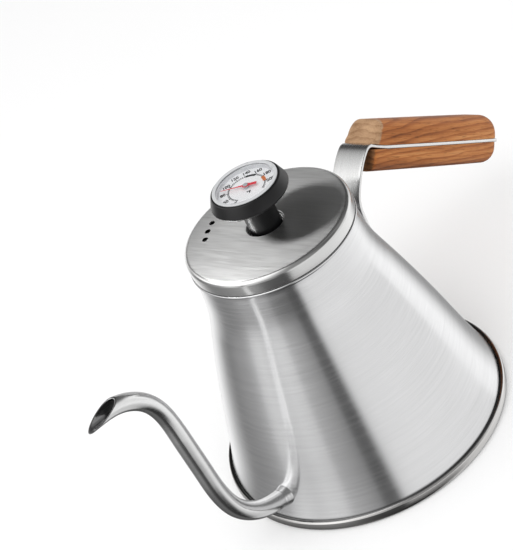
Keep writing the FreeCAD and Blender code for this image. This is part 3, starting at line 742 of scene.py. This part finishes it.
def body_profile():
    inner = offset_line(OUTER, WALL)
    flange_r = CUP_IN_R - 0.02        # clears the cup's wall
    foot = rounded([(CUP_IN_R, FLANGE_TOP), (OUTER[0][0], FLANGE_TOP, 0.6), OUTER[2]], 5)[1:-1]
    rim = rounded([(*RIM_FOOT, 0.8), (RIM_R, 123.7, 0.45), (RIM_R, RIM_TOP, 0.5),
                   (MOUTH_R, RIM_TOP, 0.5), (MOUTH_R, RIM_FOOT[1], 0.5), (41.0, 116.0)], 5)[:-1]
    return ([(flange_r, FLOOR_TOP), (flange_r, FLANGE_TOP)] + foot + OUTER[1:] + rim
            + inner[::-1][:-1] + [(inner[0][0], FLOOR_TOP)])


def spout_cutter():
    """Closed length of the spout's outside, for the hole in the cone."""
    seg = 48
    return skin([[tube_point(share, 2 * pi * k / seg, 0.02) for k in range(seg)]
                 for share in np.linspace(share_at_x(-61.0), share_at_x(-74.0), 6)])


finish_object(cut_mesh(lathe_bm(body_profile(), 240), [spout_cutter()], "kettle_cone"),
              "kettle_cone", mat_body, "kettle", "body_steel", "body_shell", sharp=28)

# base cup with its curled lip
LIP_IN_R = 73.7
lathe("base_cup", [(0, 0), (69.0, 0.0, 1.2), (69.9, 0.45, 1.2), (BASE_R - 2.2, 0.0, 1.0),
                   (BASE_R - 0.35, 0.35, 1.2), (BASE_R, 2.0, 1.5), (BASE_R, 4.75, 0.35),
                   (BASE_R - 0.35, 5.3, 0.4), (74.5, CURL_TOP, 0.4), (LIP_IN_R, CURL_TOP, 0.25),
                   (LIP_IN_R, FLANGE_TOP), (CUP_IN_R, FLANGE_TOP), (CUP_IN_R, 0.6, 0.8),
                   (0, 0.6)],
      mat_base, "kettle", "base_steel", "base_cap", seg=256, sharp=40)

# =====================================================================================
# spout
# =====================================================================================
SPOUT_WALL = 0.6
SPOUT_START_X = -66.3
# plane of the slanted cut at the tip, in (x, z)
TIP_POINT, TIP_NORMAL = (-129.3, 138.2), (-0.1207, 0.9927)
ANGLES = [2 * pi * k / 64 for k in range(64)]


def tip_crossing(angle, grow):
    """Share at which a line along the tube first crosses the tip's plane."""
    before = None
    for share in np.linspace(0.80, 1.0, 401):
        x, _, z = tube_point(share, angle, grow)
        gap = (x - TIP_POINT[0]) * TIP_NORMAL[0] + (z - TIP_POINT[1]) * TIP_NORMAL[1]
        if before is not None and (before[1] > 0) != (gap > 0):
            part = abs(before[1]) / (abs(before[1]) + abs(gap))
            return before[0] + (share - before[0]) * part
        before = (share, gap)
    return 1.0


def spout_tube():
    outer_cuts = [tip_crossing(angle, 0.0) for angle in ANGLES]
    inner_cuts = [tip_crossing(angle, -SPOUT_WALL) for angle in ANGLES]
    square_end = min(outer_cuts + inner_cuts) - 0.01    # rings lean towards the cut from here
    lip_trim = 0.16 / SPOUT_LEN

    def wall(cuts, grow):
        rows = [[tube_point(share, angle, grow) for angle in ANGLES]
                for share in np.linspace(share_at_x(SPOUT_START_X), square_end, 150)]
        for k in range(1, 13):
            rows.append([tube_point(square_end + (cut - lip_trim - square_end) * k / 12,
                                    angle, grow) for angle, cut in zip(ANGLES, cuts)])
        return rows

    lip = [[tube_point(outer + (inner - outer) * part, angle, -SPOUT_WALL * part)
            for angle, outer, inner in zip(ANGLES, outer_cuts, inner_cuts)]
           for part in (0.30, 0.5, 0.70)]
    return skin(wall(outer_cuts, 0.0) + lip + wall(inner_cuts, -SPOUT_WALL)[::-1], loop=True)


finish_mesh(spout_tube(), "spout", mat_spout, "kettle", "spout_steel", "spout_tube", sharp=50)

# section of the collar where the tube enters the cone:
# (distance outside the tube, distance along it from the cone's face)
COLLAR = [(-0.12, -0.6), (0.62, -0.6), (0.68, -0.35), (0.68, 0.0), (0.64, 0.28), (0.60, 0.44),
          (0.56, 0.60), (0.48, 1.0), (0.42, 1.6), (0.27, 2.3), (0.14, 3.1), (0.05, 3.9),
          (0.012, 4.5), (-0.12, 4.6)]


def spout_collar():
    inside, outside = share_at_x(-62.0), share_at_x(-80.0)
    rows = []
    for angle in ANGLES:
        a, b = inside, outside
        for _ in range(40):
            middle = (a + b) / 2
            x, y, z = tube_point(middle, angle, 0.6)
            if hypot(x, y) < cone_r(z):
                a = middle
            else:
                b = middle
        rows.append([tube_point(a + along / SPOUT_LEN, angle, grow) for grow, along in COLLAR])
    return skin(rows, loop=True)


finish_mesh(spout_collar(), "spout_weld_collar", mat_spout, "kettle", "spout_steel",
            "spout_collar", sharp=60)

# =====================================================================================
# handle strap: foot on the cone, arch, then the straight tang
# =====================================================================================
STRAP_W, STRAP_T = 17.5, 1.8
HALF_T = STRAP_T / 2
STRAP_EDGE = 0.5
FOOT_Z = (50.0, 56.0, 62.0, 68.0, 73.0)
# (x, z) of the strap's mid line above the foot
ARCH = [(52.25, 79.5), (51.93, 86.0), (51.9, 93.0), (53.6, 100.4), (57.7, 106.1),
        (65.0, 112.85), (71.8, 116.8), (74.4, 117.45), (76.4, 116.95), (79.1, 114.7),
        (82.1, 111.95), (86.678, 108.067)]
TANG_END = 108.2
TANG_STATIONS = 70
BARE_LENGTH = 60                      # up to here the strap may be curved, but not widened
# (along, width) of the scales
GRIP_W = [(-6.0, 19.4), (15.0, 20.4), (45.0, 22.0), (75.0, 22.0), (112.0, 20.0)]
SCREW_AT = [24.0, 84.0]
SCREW_HOLE_R = 1.9


def grip_width(along):
    """Smoothed width of the grips."""
    places = np.linspace(along - 9, along + 9, 19)
    return float(np.mean(np.interp(places, [a for a, _ in GRIP_W], [w for _, w in GRIP_W])))


def screw_cutter(along, low, high, radius, seg=32):
    """Rod square to the tang, between two heights off its mid line."""
    (x0, z0), (x1, z1) = handle_xz(along, low), handle_xz(along, high)
    return rod_bm((x0, 0, z0), (x1, 0, z1), radius, seg)


strap_foot = [(cone_r(z) + HALF_T + 0.02, z) for z in FOOT_Z]
arch_points, arch_tangents, _ = by_length(spline(strap_foot + ARCH, end_slope=TANG_ALONG), 120)


def strap_row(point, tangent, travelled, remaining):
    """Rounded rectangle across the strap at one station."""
    along, _ = handle_coords(*point)
    half = STRAP_W / 2
    if travelled > BARE_LENGTH and along > -2.0:
        # widens to just inside the scales
        k = ease((along + 2.0) / 10.0)
        half = half * (1 - k) + (grip_width(along) / 2 - 0.12) * k
    half -= end_inset(5.5, travelled)
    half -= end_inset(3.0, remaining)
    thick = HALF_T - end_inset(0.45, travelled)
    # the foot is bent round the cone and flattens out above it
    bend = ease(1.0 - (point[1] - 74.0) / 18.0) if travelled < BARE_LENGTH else 0.0
    bend_r = max(40.0, cone_r(min(point[1], 108.0)) + HALF_T)
    edge = min(STRAP_EDGE, thick * 0.8)
    section = rounded([(half, thick, edge), (-half, thick, edge),
                       (-half, -thick, edge), (half, -thick, edge)], 4)
    row = []
    for y, m in split_sides(section, sides=(4, 14), parts=12):
        x, z = point[0] - tangent[1] * m, point[1] + tangent[0] * m
        if bend > 0:
            x -= bend * (bend_r - sqrt(bend_r * bend_r - y * y))
        row.append((x, y, z))
    return row


def strap():
    stations = [(tuple(p), tuple(t)) for p, t in zip(arch_points, arch_tangents)]
    start, _ = handle_coords(*arch_points[-1])
    for k in range(1, TANG_STATIONS + 1):
        along = start + (TANG_END - start) * k / TANG_STATIONS
        stations.append((handle_xz(along, 0.0), TANG_ALONG))
    travelled = [0.0]
    for (a, _), (b, _) in zip(stations, stations[1:]):
        travelled.append(travelled[-1] + hypot(b[0] - a[0], b[1] - a[1]))
    bm = skin([strap_row(point, tangent, s, travelled[-1] - s)
               for (point, tangent), s in zip(stations, travelled)])
    return cut_mesh(bm, [screw_cutter(a, -3, 3, SCREW_HOLE_R) for a in SCREW_AT], "strap")


finish_object(strap(), "strap", mat_strap, "kettle", "strap_steel", "handle_strap", sharp=40)

# =====================================================================================
# wooden scales
# =====================================================================================
GRIP_FRONT, GRIP_UP, GRIP_DOWN = -4.4, 13.8, 12.1    # end next to the kettle, two depths
REAR_START = 88.0                     # stations crowd towards the rear end from here
# (along, off) of the raked end of the upper scale
RAKE = rounded([(GRIP_FRONT, 1.5), (0.8, GRIP_UP - 0.3, 7.0), (12.0, GRIP_UP + 3)], 24)
NUT_HOLE_R, NUT_HOLE_TOP = 2.8, HALF_T + 8.0
COUNTERBORE_R, COUNTERBORE_TOP = 3.4, 3.4 - GRIP_DOWN


def strap_top(along):
    """Top of the strap above the tang's mid line; it rises where the arch begins."""
    best = HALF_T
    if along >= 9.0:
        return best
    for p, t in zip(arch_points, arch_tangents):
        here, off = handle_coords(p[0] - t[1] * HALF_T, p[1] + t[0] * HALF_T)
        if abs(here - along) < 0.5:
            best = max(best, off)
    return best


def grip_scale(name, node, material, upper, depth, corner_r, rear_corners, rear_length,
               rear_depth, front_steps, cutters):
    """One scale: rounded sections lofted along the handle, with a rounded rear end."""
    side = 1.0 if upper else -1.0
    rear = max(along for along, off in rounded(rear_corners) if off > HALF_T)

    def height(along):
        if upper and along < 8.0:
            return min(depth, float(np.interp(along, [a for a, _ in RAKE],
                                              [off for _, off in RAKE])))
        if along > rear - rear_length:
            k = min(1.0, (along - rear + rear_length) / rear_length)
            return depth - (depth - rear_depth) * (1 - (1 - k**2.3) ** (1 / 2.1))
        return depth - end_inset(1.4, along - GRIP_FRONT)

    def half_width(along):
        half = grip_width(along) / 2 - end_inset(2.4, along - GRIP_FRONT)
        if along > rear - 7.0:
            k = (along - rear + 7.0) / 7.0
            half -= 5.4 * (1 - sqrt(max(0.0, 1 - k**2.4)))
        return half

    stations = [GRIP_FRONT + step for step in front_steps]
    stations += list(np.linspace(max(stations) + 0.5, REAR_START, 44))
    stations += list(REAR_START + (rear - REAR_START) * np.sin(np.linspace(0, 1, 26)[1:] * pi / 2))
    rows = []
    for along in stations:
        high, wide = height(along), half_width(along)
        base = (strap_top(along) if upper else HALF_T) + 0.015
        high = max(high, base + 0.5)
        radius = min(corner_r, (high - base) * 0.85, wide * 0.75)
        edge = 0.35 if (high - base) > 1.0 else 0.1
        section = rounded([(wide, base, edge), (wide, high, radius),
                           (-wide, high, radius), (-wide, base, edge)], 9)
        row = []
        for y, off in split_sides(section, sides=(9, 19, 29, 39), parts=8):
            x, z = handle_xz(along, side * off)
            row.append((x, y, z))
        rows.append(row)
    finish_object(cut_mesh(skin(rows), cutters, name), name, material, "kettle", "grip_wood",
                  node, sharp=40)


# rear_corners are (along, off) of the profile's rear end
grip_scale("grip_scale_upper", "grip_upper", mat_wood_up, upper=True, depth=GRIP_UP,
           corner_r=6.2, rear_corners=[(97.0, GRIP_UP), (108.4, 3.6, 6.0), (108.4, 0.0)],
           rear_length=13.2, rear_depth=1.6, front_steps=[0.25 * k for k in range(1, 34)],
           cutters=[screw_cutter(a, -1, NUT_HOLE_TOP, NUT_HOLE_R) for a in SCREW_AT])
lower_cutters = []
for a in SCREW_AT:
    lower_cutters.append(screw_cutter(a, -20, COUNTERBORE_TOP, COUNTERBORE_R, seg=40))
    lower_cutters.append(screw_cutter(a, -18, 1, SCREW_HOLE_R))
grip_scale("grip_scale_lower", "grip_lower", mat_wood_low, upper=False, depth=GRIP_DOWN,
           corner_r=5.6, rear_corners=[(99.0, GRIP_DOWN), (107.6, 2.4, 5.0), (108.2, 0.0)],
           rear_length=11.0, rear_depth=1.4,
           front_steps=[0.0, 0.12, 0.35, 0.7, 1.1, 1.6, 2.4, 4.0, 6.0], cutters=lower_cutters)

# =====================================================================================
# lid
# =====================================================================================
LID_TOP = top_of("lid_shell")
LID_R = radius_of("lid_shell")
SKIRT_Z = bottom_of("lid_shell")
LID_SHEET = 0.8
RECESS_BOTTOM = 128.0                 # underside of the sunk middle
RECESS_FLOOR = RECESS_BOTTOM + LID_SHEET
VENTS = [(-3.1, 31.2), (-9.1, 29.7), (-14.6, 27.4)]    # (x, y) of the holes
VENT_R = 1.5

lid_in_r, lid_in_top = LID_R - LID_SHEET, LID_TOP - LID_SHEET
lid_profile = rounded([(5.0, RECESS_BOTTOM), (9.8, RECESS_BOTTOM, 1.0), (9.8, lid_in_top, 0.4),
                       (lid_in_r, lid_in_top, 1.7), (lid_in_r, SKIRT_Z, 0.15),
                       (LID_R, SKIRT_Z, 0.3), (LID_R, LID_TOP, 2.5), (9.0, LID_TOP, 1.0),
                       (9.0, RECESS_FLOOR, 0.4), (5.0, RECESS_FLOOR)], 10)
vent_cutters = [rod_bm((x, y, 129.5), (x, y, 136), VENT_R) for x, y in VENTS]
lid_ob = finish_object(cut_mesh(lathe_bm(lid_profile, 240), vent_cutters, "lid_dome"),
                       "lid_dome", mat_lid, "lid", "lid_steel", "lid_shell", sharp=30)

# ring under the lid that fits the mouth, its flange resting on the rim
PLUG_IN_R, PLUG_R, PLUG_BOTTOM = 39.5, 40.3, 113.0
PLUG_FLANGE_Z = RIM_TOP + 0.05
lathe("lid_plug", [(PLUG_IN_R, PLUG_BOTTOM, 0.25), (PLUG_R, PLUG_BOTTOM, 0.35),
                   (PLUG_R, PLUG_FLANGE_Z), (41.5, PLUG_FLANGE_Z, 0.15),
                   (41.5, PLUG_FLANGE_Z + 0.8), (PLUG_IN_R, PLUG_FLANGE_Z + 0.8, 0.6)],
      mat_inner, "lid", "inner_steel", "lid_plug_ring")
# grommet gripping the edge of the lid's middle hole
lathe("lid_seal", [(3.3, 127.1, 0.2), (6.5, 127.1, 0.3), (6.5, RECESS_BOTTOM),
                   (5.0, RECESS_BOTTOM), (5.0, RECESS_FLOOR), (7.0, RECESS_FLOOR),
                   (7.0, 129.4, 0.25), (3.3, 129.4, 0.2)],
      mat_silicone, "lid", "silicone_grey", "lid_grommet", seg=96)

# =====================================================================================
# thermometer
# =====================================================================================
HEAD_TOP = top_of("gauge_housing")
BEZEL_TOP = top_of("gauge_bezel")
LENS_TOP, LENS_BOTTOM = top_of("gauge_lens"), bottom_of("gauge_lens")
DIAL_TOP = top_of("dial_plate")
HEAD_BOTTOM = 151.2
LENS_R, BEZEL_LIP_R, BEZEL_SEAT_R, BEZEL_SEAT_Z = 15.2, 15.6, 15.9, 153.0

lathe("gauge_head", [(3.4, HEAD_BOTTOM), (BEZEL_LIP_R, HEAD_BOTTOM), (BEZEL_LIP_R, BEZEL_SEAT_Z),
                     (BEZEL_SEAT_R, BEZEL_SEAT_Z), (BEZEL_SEAT_R, HEAD_TOP),
                     (17.3, HEAD_TOP, 1.0), (19.7, HEAD_BOTTOM, 0.9), (18.9, 149.9, 0.6),
                     (8.05, 147.9, 1.6), (8.05, 129.45, 0.5), (6.4, 129.45), (6.4, 147.6),
                     (3.4, 147.6)],
      mat_black, "thermometer", "black_moulding", "gauge_housing", seg=160, steps=8, sharp=50)
lathe("gauge_rim", [(14.6, LENS_TOP), (LENS_R, LENS_TOP), (LENS_R, 156.1), (BEZEL_LIP_R, 156.1),
                    (BEZEL_LIP_R, BEZEL_SEAT_Z), (BEZEL_SEAT_R, BEZEL_SEAT_Z),
                    (BEZEL_SEAT_R, HEAD_TOP), (16.4, HEAD_TOP), (16.4, BEZEL_TOP, 0.3),
                    (14.6, BEZEL_TOP, 0.35)],
      mat_bezel, "thermometer", "bezel_metal", "gauge_bezel", seg=160, sharp=50)
lathe("gauge_glass", [(0, LENS_BOTTOM), (LENS_R, LENS_BOTTOM), (LENS_R, LENS_TOP, 0.12),
                      (0, LENS_TOP)],
      mat_glass, "thermometer", "lens_clear", "gauge_lens", seg=128)
lathe("gauge_dial", [(0.65, 154.1), (LENS_R, 154.1), (LENS_R, DIAL_TOP, 0.05),
                     (0.65, DIAL_TOP, 0.05)],
      mat_dial, "thermometer", "dial_white", "dial_plate", seg=128)

# dial print: angles are in degrees anticlockwise from +X
SCALE_LOW, SCALE_HIGH = 40, 220
ZONE = (138, 160)                     # temperatures under the thick black arc
TEXT_UP = 50.0                        # direction the figures' tops point to
TEXT_NARROWING = 0.88
FIGURE_R, FIGURE_SIZE = 11.95, 3.1
UNIT_R, UNIT_SIZE = 4.6, 2.8
PRINT_BOTTOM, PRINT_TOP = DIAL_TOP + 0.002, DIAL_TOP + 0.04


def dial_angle(temperature):
    return 184.0 - (temperature - SCALE_LOW) * 1.4875


def add_arc(bm, r0, r1, start, end, raise_bottom=0.0, raise_top=0.0):
    """Flat piece of ring; the raises keep overlapping prints apart."""
    z0, z1 = PRINT_BOTTOM + raise_bottom, PRINT_TOP + raise_top
    count = max(2, int(abs(end - start) / 2.0))
    rings = []
    for k in range(count + 1):
        w = radians(start + (end - start) * k / count)
        rings.append([bm.verts.new((r * MM * cos(w), r * MM * sin(w), z * MM))
                      for r, z in ((r0, z0), (r1, z0), (r1, z1), (r0, z1))])
    for a, b in zip(rings, rings[1:]):
        for k in range(4):
            j = (k + 1) % 4
            bm.faces.new((a[k], b[k], b[j], a[j]))
    bm.faces.new(rings[0])
    bm.faces.new(rings[-1][::-1])


def scale_marks():
    bm = bmesh.new()
    add_arc(bm, 8.84, 9.10, dial_angle(38), dial_angle(222))
    add_arc(bm, 8.35, 9.75, dial_angle(ZONE[0]), dial_angle(ZONE[1]), 0.001, 0.01)
    for temperature in range(SCALE_LOW, SCALE_HIGH + 1, 4):
        if ZONE[0] < temperature < ZONE[1]:
            continue
        outer, half = (10.15, 1.6) if temperature % 20 == 0 else (9.8, 1.25)
        middle = dial_angle(temperature)
        add_arc(bm, 8.9, outer, middle - half, middle + half, 0.0005, 0.005)
    bmesh.ops.recalc_face_normals(bm, faces=bm.faces)
    return to_mesh(bm, "dial_marks")


def text_mesh(text, radius, angle, size):
    curve = bpy.data.curves.new("t", "FONT")
    curve.body, curve.size, curve.extrude = text, size * MM, 0.00002
    curve.align_x, curve.align_y = "CENTER", "CENTER"
    curve.resolution_u = 3
    curve.offset = 0.00011            # thickens the strokes
    ob = bpy.data.objects.new("t", curve)
    scene.collection.objects.link(ob)
    bpy.context.view_layer.update()
    graph = bpy.context.evaluated_depsgraph_get()
    mesh = bpy.data.meshes.new_from_object(ob.evaluated_get(graph))
    place = (radius * MM * cos(radians(angle)), radius * MM * sin(radians(angle)),
             (DIAL_TOP + 0.023) * MM)
    mesh.transform(Matrix.Translation(place)
                   @ Matrix.Rotation(radians(TEXT_UP - 90.0), 4, "Z")
                   @ Matrix.Diagonal((TEXT_NARROWING, 1.0, 1.0, 1.0)))
    bpy.data.objects.remove(ob)
    bpy.data.curves.remove(curve)
    return mesh


parts = [scale_marks()]
for temperature in range(SCALE_LOW, 201, 20):
    parts.append(text_mesh(str(temperature), FIGURE_R, dial_angle(temperature), FIGURE_SIZE))
parts.append(text_mesh("°F", UNIT_R, TEXT_UP - 180.0, UNIT_SIZE))
bm = bmesh.new()
for part in parts:
    bm.from_mesh(part)
    bpy.data.meshes.remove(part)
finish_object(to_mesh(bm, "dial_marks"), "dial_marks", mat_print, "thermometer", "dial_print",
              sharp=30)

# coloured arc between 181 and 198 degrees F
bm = bmesh.new()
add_arc(bm, 8.2, 9.9, dial_angle(181), dial_angle(198), 0.002, 0.015)
finish_mesh(bm, "dial_zone", mat_accent, "thermometer", "dial_accent", sharp=30)

# pointer: (distance towards the tip, distance to its left)
POINTER_Z = bottom_of("pointer")
POINTER_ANGLE = radians(115.0)
POINTER = [(12.8, 0.13), (6.0, 0.30), (1.75, 0.50), (1.25, 1.25), (0.0, 1.75), (-1.25, 1.25),
           (-1.7, 0.86), (-5.6, 0.90), (-5.6, -0.90), (-1.7, -0.86), (-1.25, -1.25),
           (0.0, -1.75), (1.25, -1.25), (1.75, -0.50), (6.0, -0.30), (12.8, -0.13)]
# (height, inset of the outline)
POINTER_LAYERS = [(0.0, 0.06), (0.04, 0.0), (0.15, 0.0), (0.2, 0.06)]


def needle():
    rows = []
    for z, inset in POINTER_LAYERS:
        row = []
        for x, y in POINTER:
            x += -inset if x > 0 else inset
            if y:
                y += -inset if y > 0 else inset
            row.append((x * cos(POINTER_ANGLE) - y * sin(POINTER_ANGLE),
                        x * sin(POINTER_ANGLE) + y * cos(POINTER_ANGLE), POINTER_Z + z))
        rows.append(row)
    return skin(rows)


finish_mesh(needle(), "needle", mat_pointer, "pointer", "pointer_red", "pointer", sharp=30)

# hub with a waist that holds the pointer
HUB_BOTTOM, HUB_TOP = bottom_of("pointer_boss"), top_of("pointer_boss")
WAIST_LOW, WAIST_HIGH = POINTER_Z - 0.005, POINTER_Z + 0.205
lathe("needle_hub", [(0, HUB_BOTTOM), (1.5, HUB_BOTTOM, 0.1), (1.5, WAIST_LOW, 0.1),
                     (1.0, WAIST_LOW), (1.0, WAIST_HIGH), (1.3, WAIST_HIGH, 0.05),
                     (1.3, HUB_TOP, 0.22), (0, HUB_TOP)],
      mat_hub, "pointer", "hub_grey", "pointer_boss", seg=48)

# CAD pieces that keep their own meshes
for node, material in {
        "floor_plate": mat_inner, "heat_spreader": mat_spreader, "grip_screws": mat_fastener,
        "grip_nuts": mat_fastener, "stem_base": mat_black, "gauge_can": mat_can,
        "stem_collar": mat_can, "clamp_nut": mat_fastener, "dial_spacer": mat_spacer,
        "lens_gasket": mat_gasket, "probe_tube": mat_probe, "probe_tip": mat_probe,
        "bimetal_coil": mat_coil, "spindle_bush": mat_brass, "spindle": mat_probe}.items():
    mesh = NODES[node].data
    mesh.materials.clear()
    mesh.materials.append(material)


# =====================================================================================
# floor (metres from here on)
# =====================================================================================
def floor_paper():
    m = Material("floor_paper")
    speckle = m.noise(m.coord, scale=900.0, detail=3.0, rough=0.6)
    m.set(base=m.mix(speckle, (0.90, 0.90, 0.90), (0.93, 0.93, 0.93)), rough=0.75, spec=0.15,
          normal=m.bump(speckle, strength=0.05, distance=0.0001))
    return m.mat


floor_material = floor_paper()
bm = bmesh.new()
bmesh.ops.create_grid(bm, x_segments=4, y_segments=4, size=6.0)
floor = bpy.data.objects.new("floor", to_mesh(bm, "floor"))
scene.collection.objects.link(floor)
floor.location = (0, 0, -0.0002)
floor.data.materials.append(floor_material)
floor.visible_glossy = False

# =====================================================================================
# world: glossy rays see soft boxes and flags, all others a plain pale room
# =====================================================================================
# Tables are (degrees anticlockwise from the camera's side, display brightness in steel).
CAM_AZ = radians(-129.0)
STEEL_REFLECTANCE = 0.66
# near the horizon
BANDS = [(-180, .74), (-158, .93), (-148, .86), (-140, .70), (-131, .50), (-120, .47),
         (-108, .54), (-97, .58), (-88, .66), (-84, .76), (-76, .81), (-65, .76), (-54, .80),
         (-44, .77), (-40, .66), (-28, .58), (-19, .50), (-16.5, .34), (-7, .30), (-4.5, .62),
         (-1, .82), (8, .855), (30, .865), (97, .845), (102, .94), (119, .96), (128, .87),
         (140, .76), (151, .62), (166, .66), (180, .74)]
# below the horizon
LOW = [(-180, .80), (-158, .90), (-146, .82), (-134, .66), (-122, .50), (-108, .48), (-90, .52),
       (-72, .58), (-60, .60), (-48, .54), (-40, .40), (-30, .34), (-16, .32), (-7, .26),
       (-4, .50), (0, .78), (12, .84), (60, .86), (97, .92), (119, .95), (130, .84), (142, .60),
       (158, .50), (180, .80)]
# above the horizon
HIGH = [(-180, .30), (-166, .36), (-152, .50), (-136, .85), (-110, 1.0), (-60, 1.0), (-32, .80),
        (-14, .58), (2, .52), (12, .52), (40, .48), (52, .36), (75, .34), (86, .46), (97, .46),
        (110, .36), (150, .26), (180, .30)]
# steeply down
DEEP = [(-180, .30), (-125, .31), (-90, .35), (-63, .38), (-50, .35), (-38, .28), (-27, .20),
        (10, .18), (26, .20), (36, .32), (46, .54), (56, .70), (68, .76), (110, .80),
        (150, .56), (180, .30)]
# steeply up: a factor on HIGH
TOP = [(-180, .42), (-112, .42), (-88, 1.0), (140, 1.0), (160, .45), (180, .42)]
# middle of a soft patch of extra light
PATCH_AZ, PATCH_UP = CAM_AZ + radians(-88), radians(42)


def mirrored(brightness):
    """Light that steel shows at this display brightness."""
    linear = brightness / 12.92 if brightness <= 0.04045 else ((brightness + 0.055) / 1.055) ** 2.4
    return linear / STEEL_REFLECTANCE


def studio_light(w):
    """The surroundings that glossy rays see, as a function of direction."""
    direction = w.vmath("NORMALIZE", w.coord)
    towards = w.vmath("DOT_PRODUCT", direction, (cos(CAM_AZ), sin(CAM_AZ), 0))
    aside = w.vmath("DOT_PRODUCT", direction, (-sin(CAM_AZ), cos(CAM_AZ), 0))
    share = w.plus(w.math("DIVIDE", w.math("ARCTAN2", aside, towards), 2 * pi), 0.5)
    up = w.axis("Z", direction)

    def by_azimuth(table, value=mirrored):
        return w.ramp(share, [((angle + 180) / 360.0, value(v)) for angle, v in table])

    patch = Vector((cos(PATCH_UP) * cos(PATCH_AZ), cos(PATCH_UP) * sin(PATCH_AZ),
                    sin(PATCH_UP))).normalized()
    patch_light = w.smooth(w.vmath("DOT_PRODUCT", direction, tuple(patch)),
                           lo=cos(radians(55)), hi=cos(radians(30)))
    above = w.plus(by_azimuth(HIGH), w.times(patch_light, 0.45))
    above = w.times(above, w.mix(w.smooth(up, lo=0.42, hi=0.54), 1.0,
                                 by_azimuth(TOP, value=float), kind="FLOAT"))
    light = w.mix(w.fall(up, lo=-0.40, hi=-0.30), by_azimuth(BANDS), by_azimuth(LOW))
    light = w.mix(w.fall(up, lo=-0.685, hi=-0.61), light, by_azimuth(DEEP))
    return w.mix(w.smooth(up, lo=0.10, hi=0.28), light, above)


world = bpy.data.worlds.new("studio")
scene.world = world
world.use_nodes = True
w = Shader(world.node_tree)
w.coord = w.node("ShaderNodeTexCoord").outputs["Generated"]
world_output = w.node("ShaderNodeOutputWorld")
world_mix = w.node("ShaderNodeMixShader")
w.link(w.node("ShaderNodeLightPath").outputs["Is Glossy Ray"], world_mix.inputs[0])
for i, (colour, strength) in enumerate([((1.0, 1.0, 1.0, 1), 0.92), (studio_light(w), 1.0)]):
    background = w.node("ShaderNodeBackground")
    w.put(background.inputs["Color"], colour)
    background.inputs["Strength"].default_value = strength
    w.link(background.outputs[0], world_mix.inputs[i + 1])
w.link(world_mix.outputs[0], world_output.inputs["Surface"])


# =====================================================================================
# lights and camera
# =====================================================================================
def area_light(name, location, backwards, **settings):
    """Area light that shines against the direction backwards."""
    data = bpy.data.lights.new(name, "AREA")
    for key, value in settings.items():
        setattr(data, key, value)
    ob = bpy.data.objects.new(name, data)
    scene.collection.objects.link(ob)
    ob.location = location
    ob.rotation_euler = backwards.to_track_quat("Z", "Y").to_euler()
    return ob


# one large soft box high on the spout's side, for soft modelling and a soft shadow
key_target = Vector((0, 0, 0.08))
key_place = Vector((-0.55, -0.15, 0.95)).normalized() * 1.5 + key_target
soft_key = area_light("soft_key", key_place, key_place - key_target,
                      shape="RECTANGLE", size=1.1, size_y=0.9, energy=9.0)
soft_key.visible_glossy = False

# a small soft box that lights the lid alone; the knob cuts it off on the far side
lid_key_direction = Vector((-0.33, 0.58, 0.74)).normalized()
lid_key = area_light("lid_key", lid_key_direction * 0.35 + Vector((0, 0.008, 0.1328)),
                     lid_key_direction, shape="DISK", size=0.075, energy=1.65)
only_lid = bpy.data.collections.new("lit_by_lid_key")
only_lid.objects.link(lid_ob)
lid_key.light_linking.receiver_collection = only_lid

cam = bpy.data.cameras.new("camera")
cam.sensor_width, cam.lens = 36.0, 110.82567273
cam.clip_start, cam.clip_end = 0.01, 50.0
cam.shift_x, cam.shift_y = -0.00036363636, 0.00036363636
cam_ob = bpy.data.objects.new("camera", cam)
scene.collection.objects.link(cam_ob)
# the camera's axes, squared up
right = Vector((0.51974, -0.75823, -0.39366))
upward = Vector((0.67493, 0.08190, 0.73333))
back = right.cross(upward).normalized()
upward = back.cross(right).normalized()
right.normalize()
placement = Matrix((right, upward, back)).transposed().to_4x4()
placement.translation = Vector((-0.433779, -0.511822, 0.555743))
cam_ob.matrix_world = placement
scene.camera = cam_ob
scene.view_settings.view_transform = "Standard"
scene.view_settings.look = "None"

bpy.context.view_layer.update()
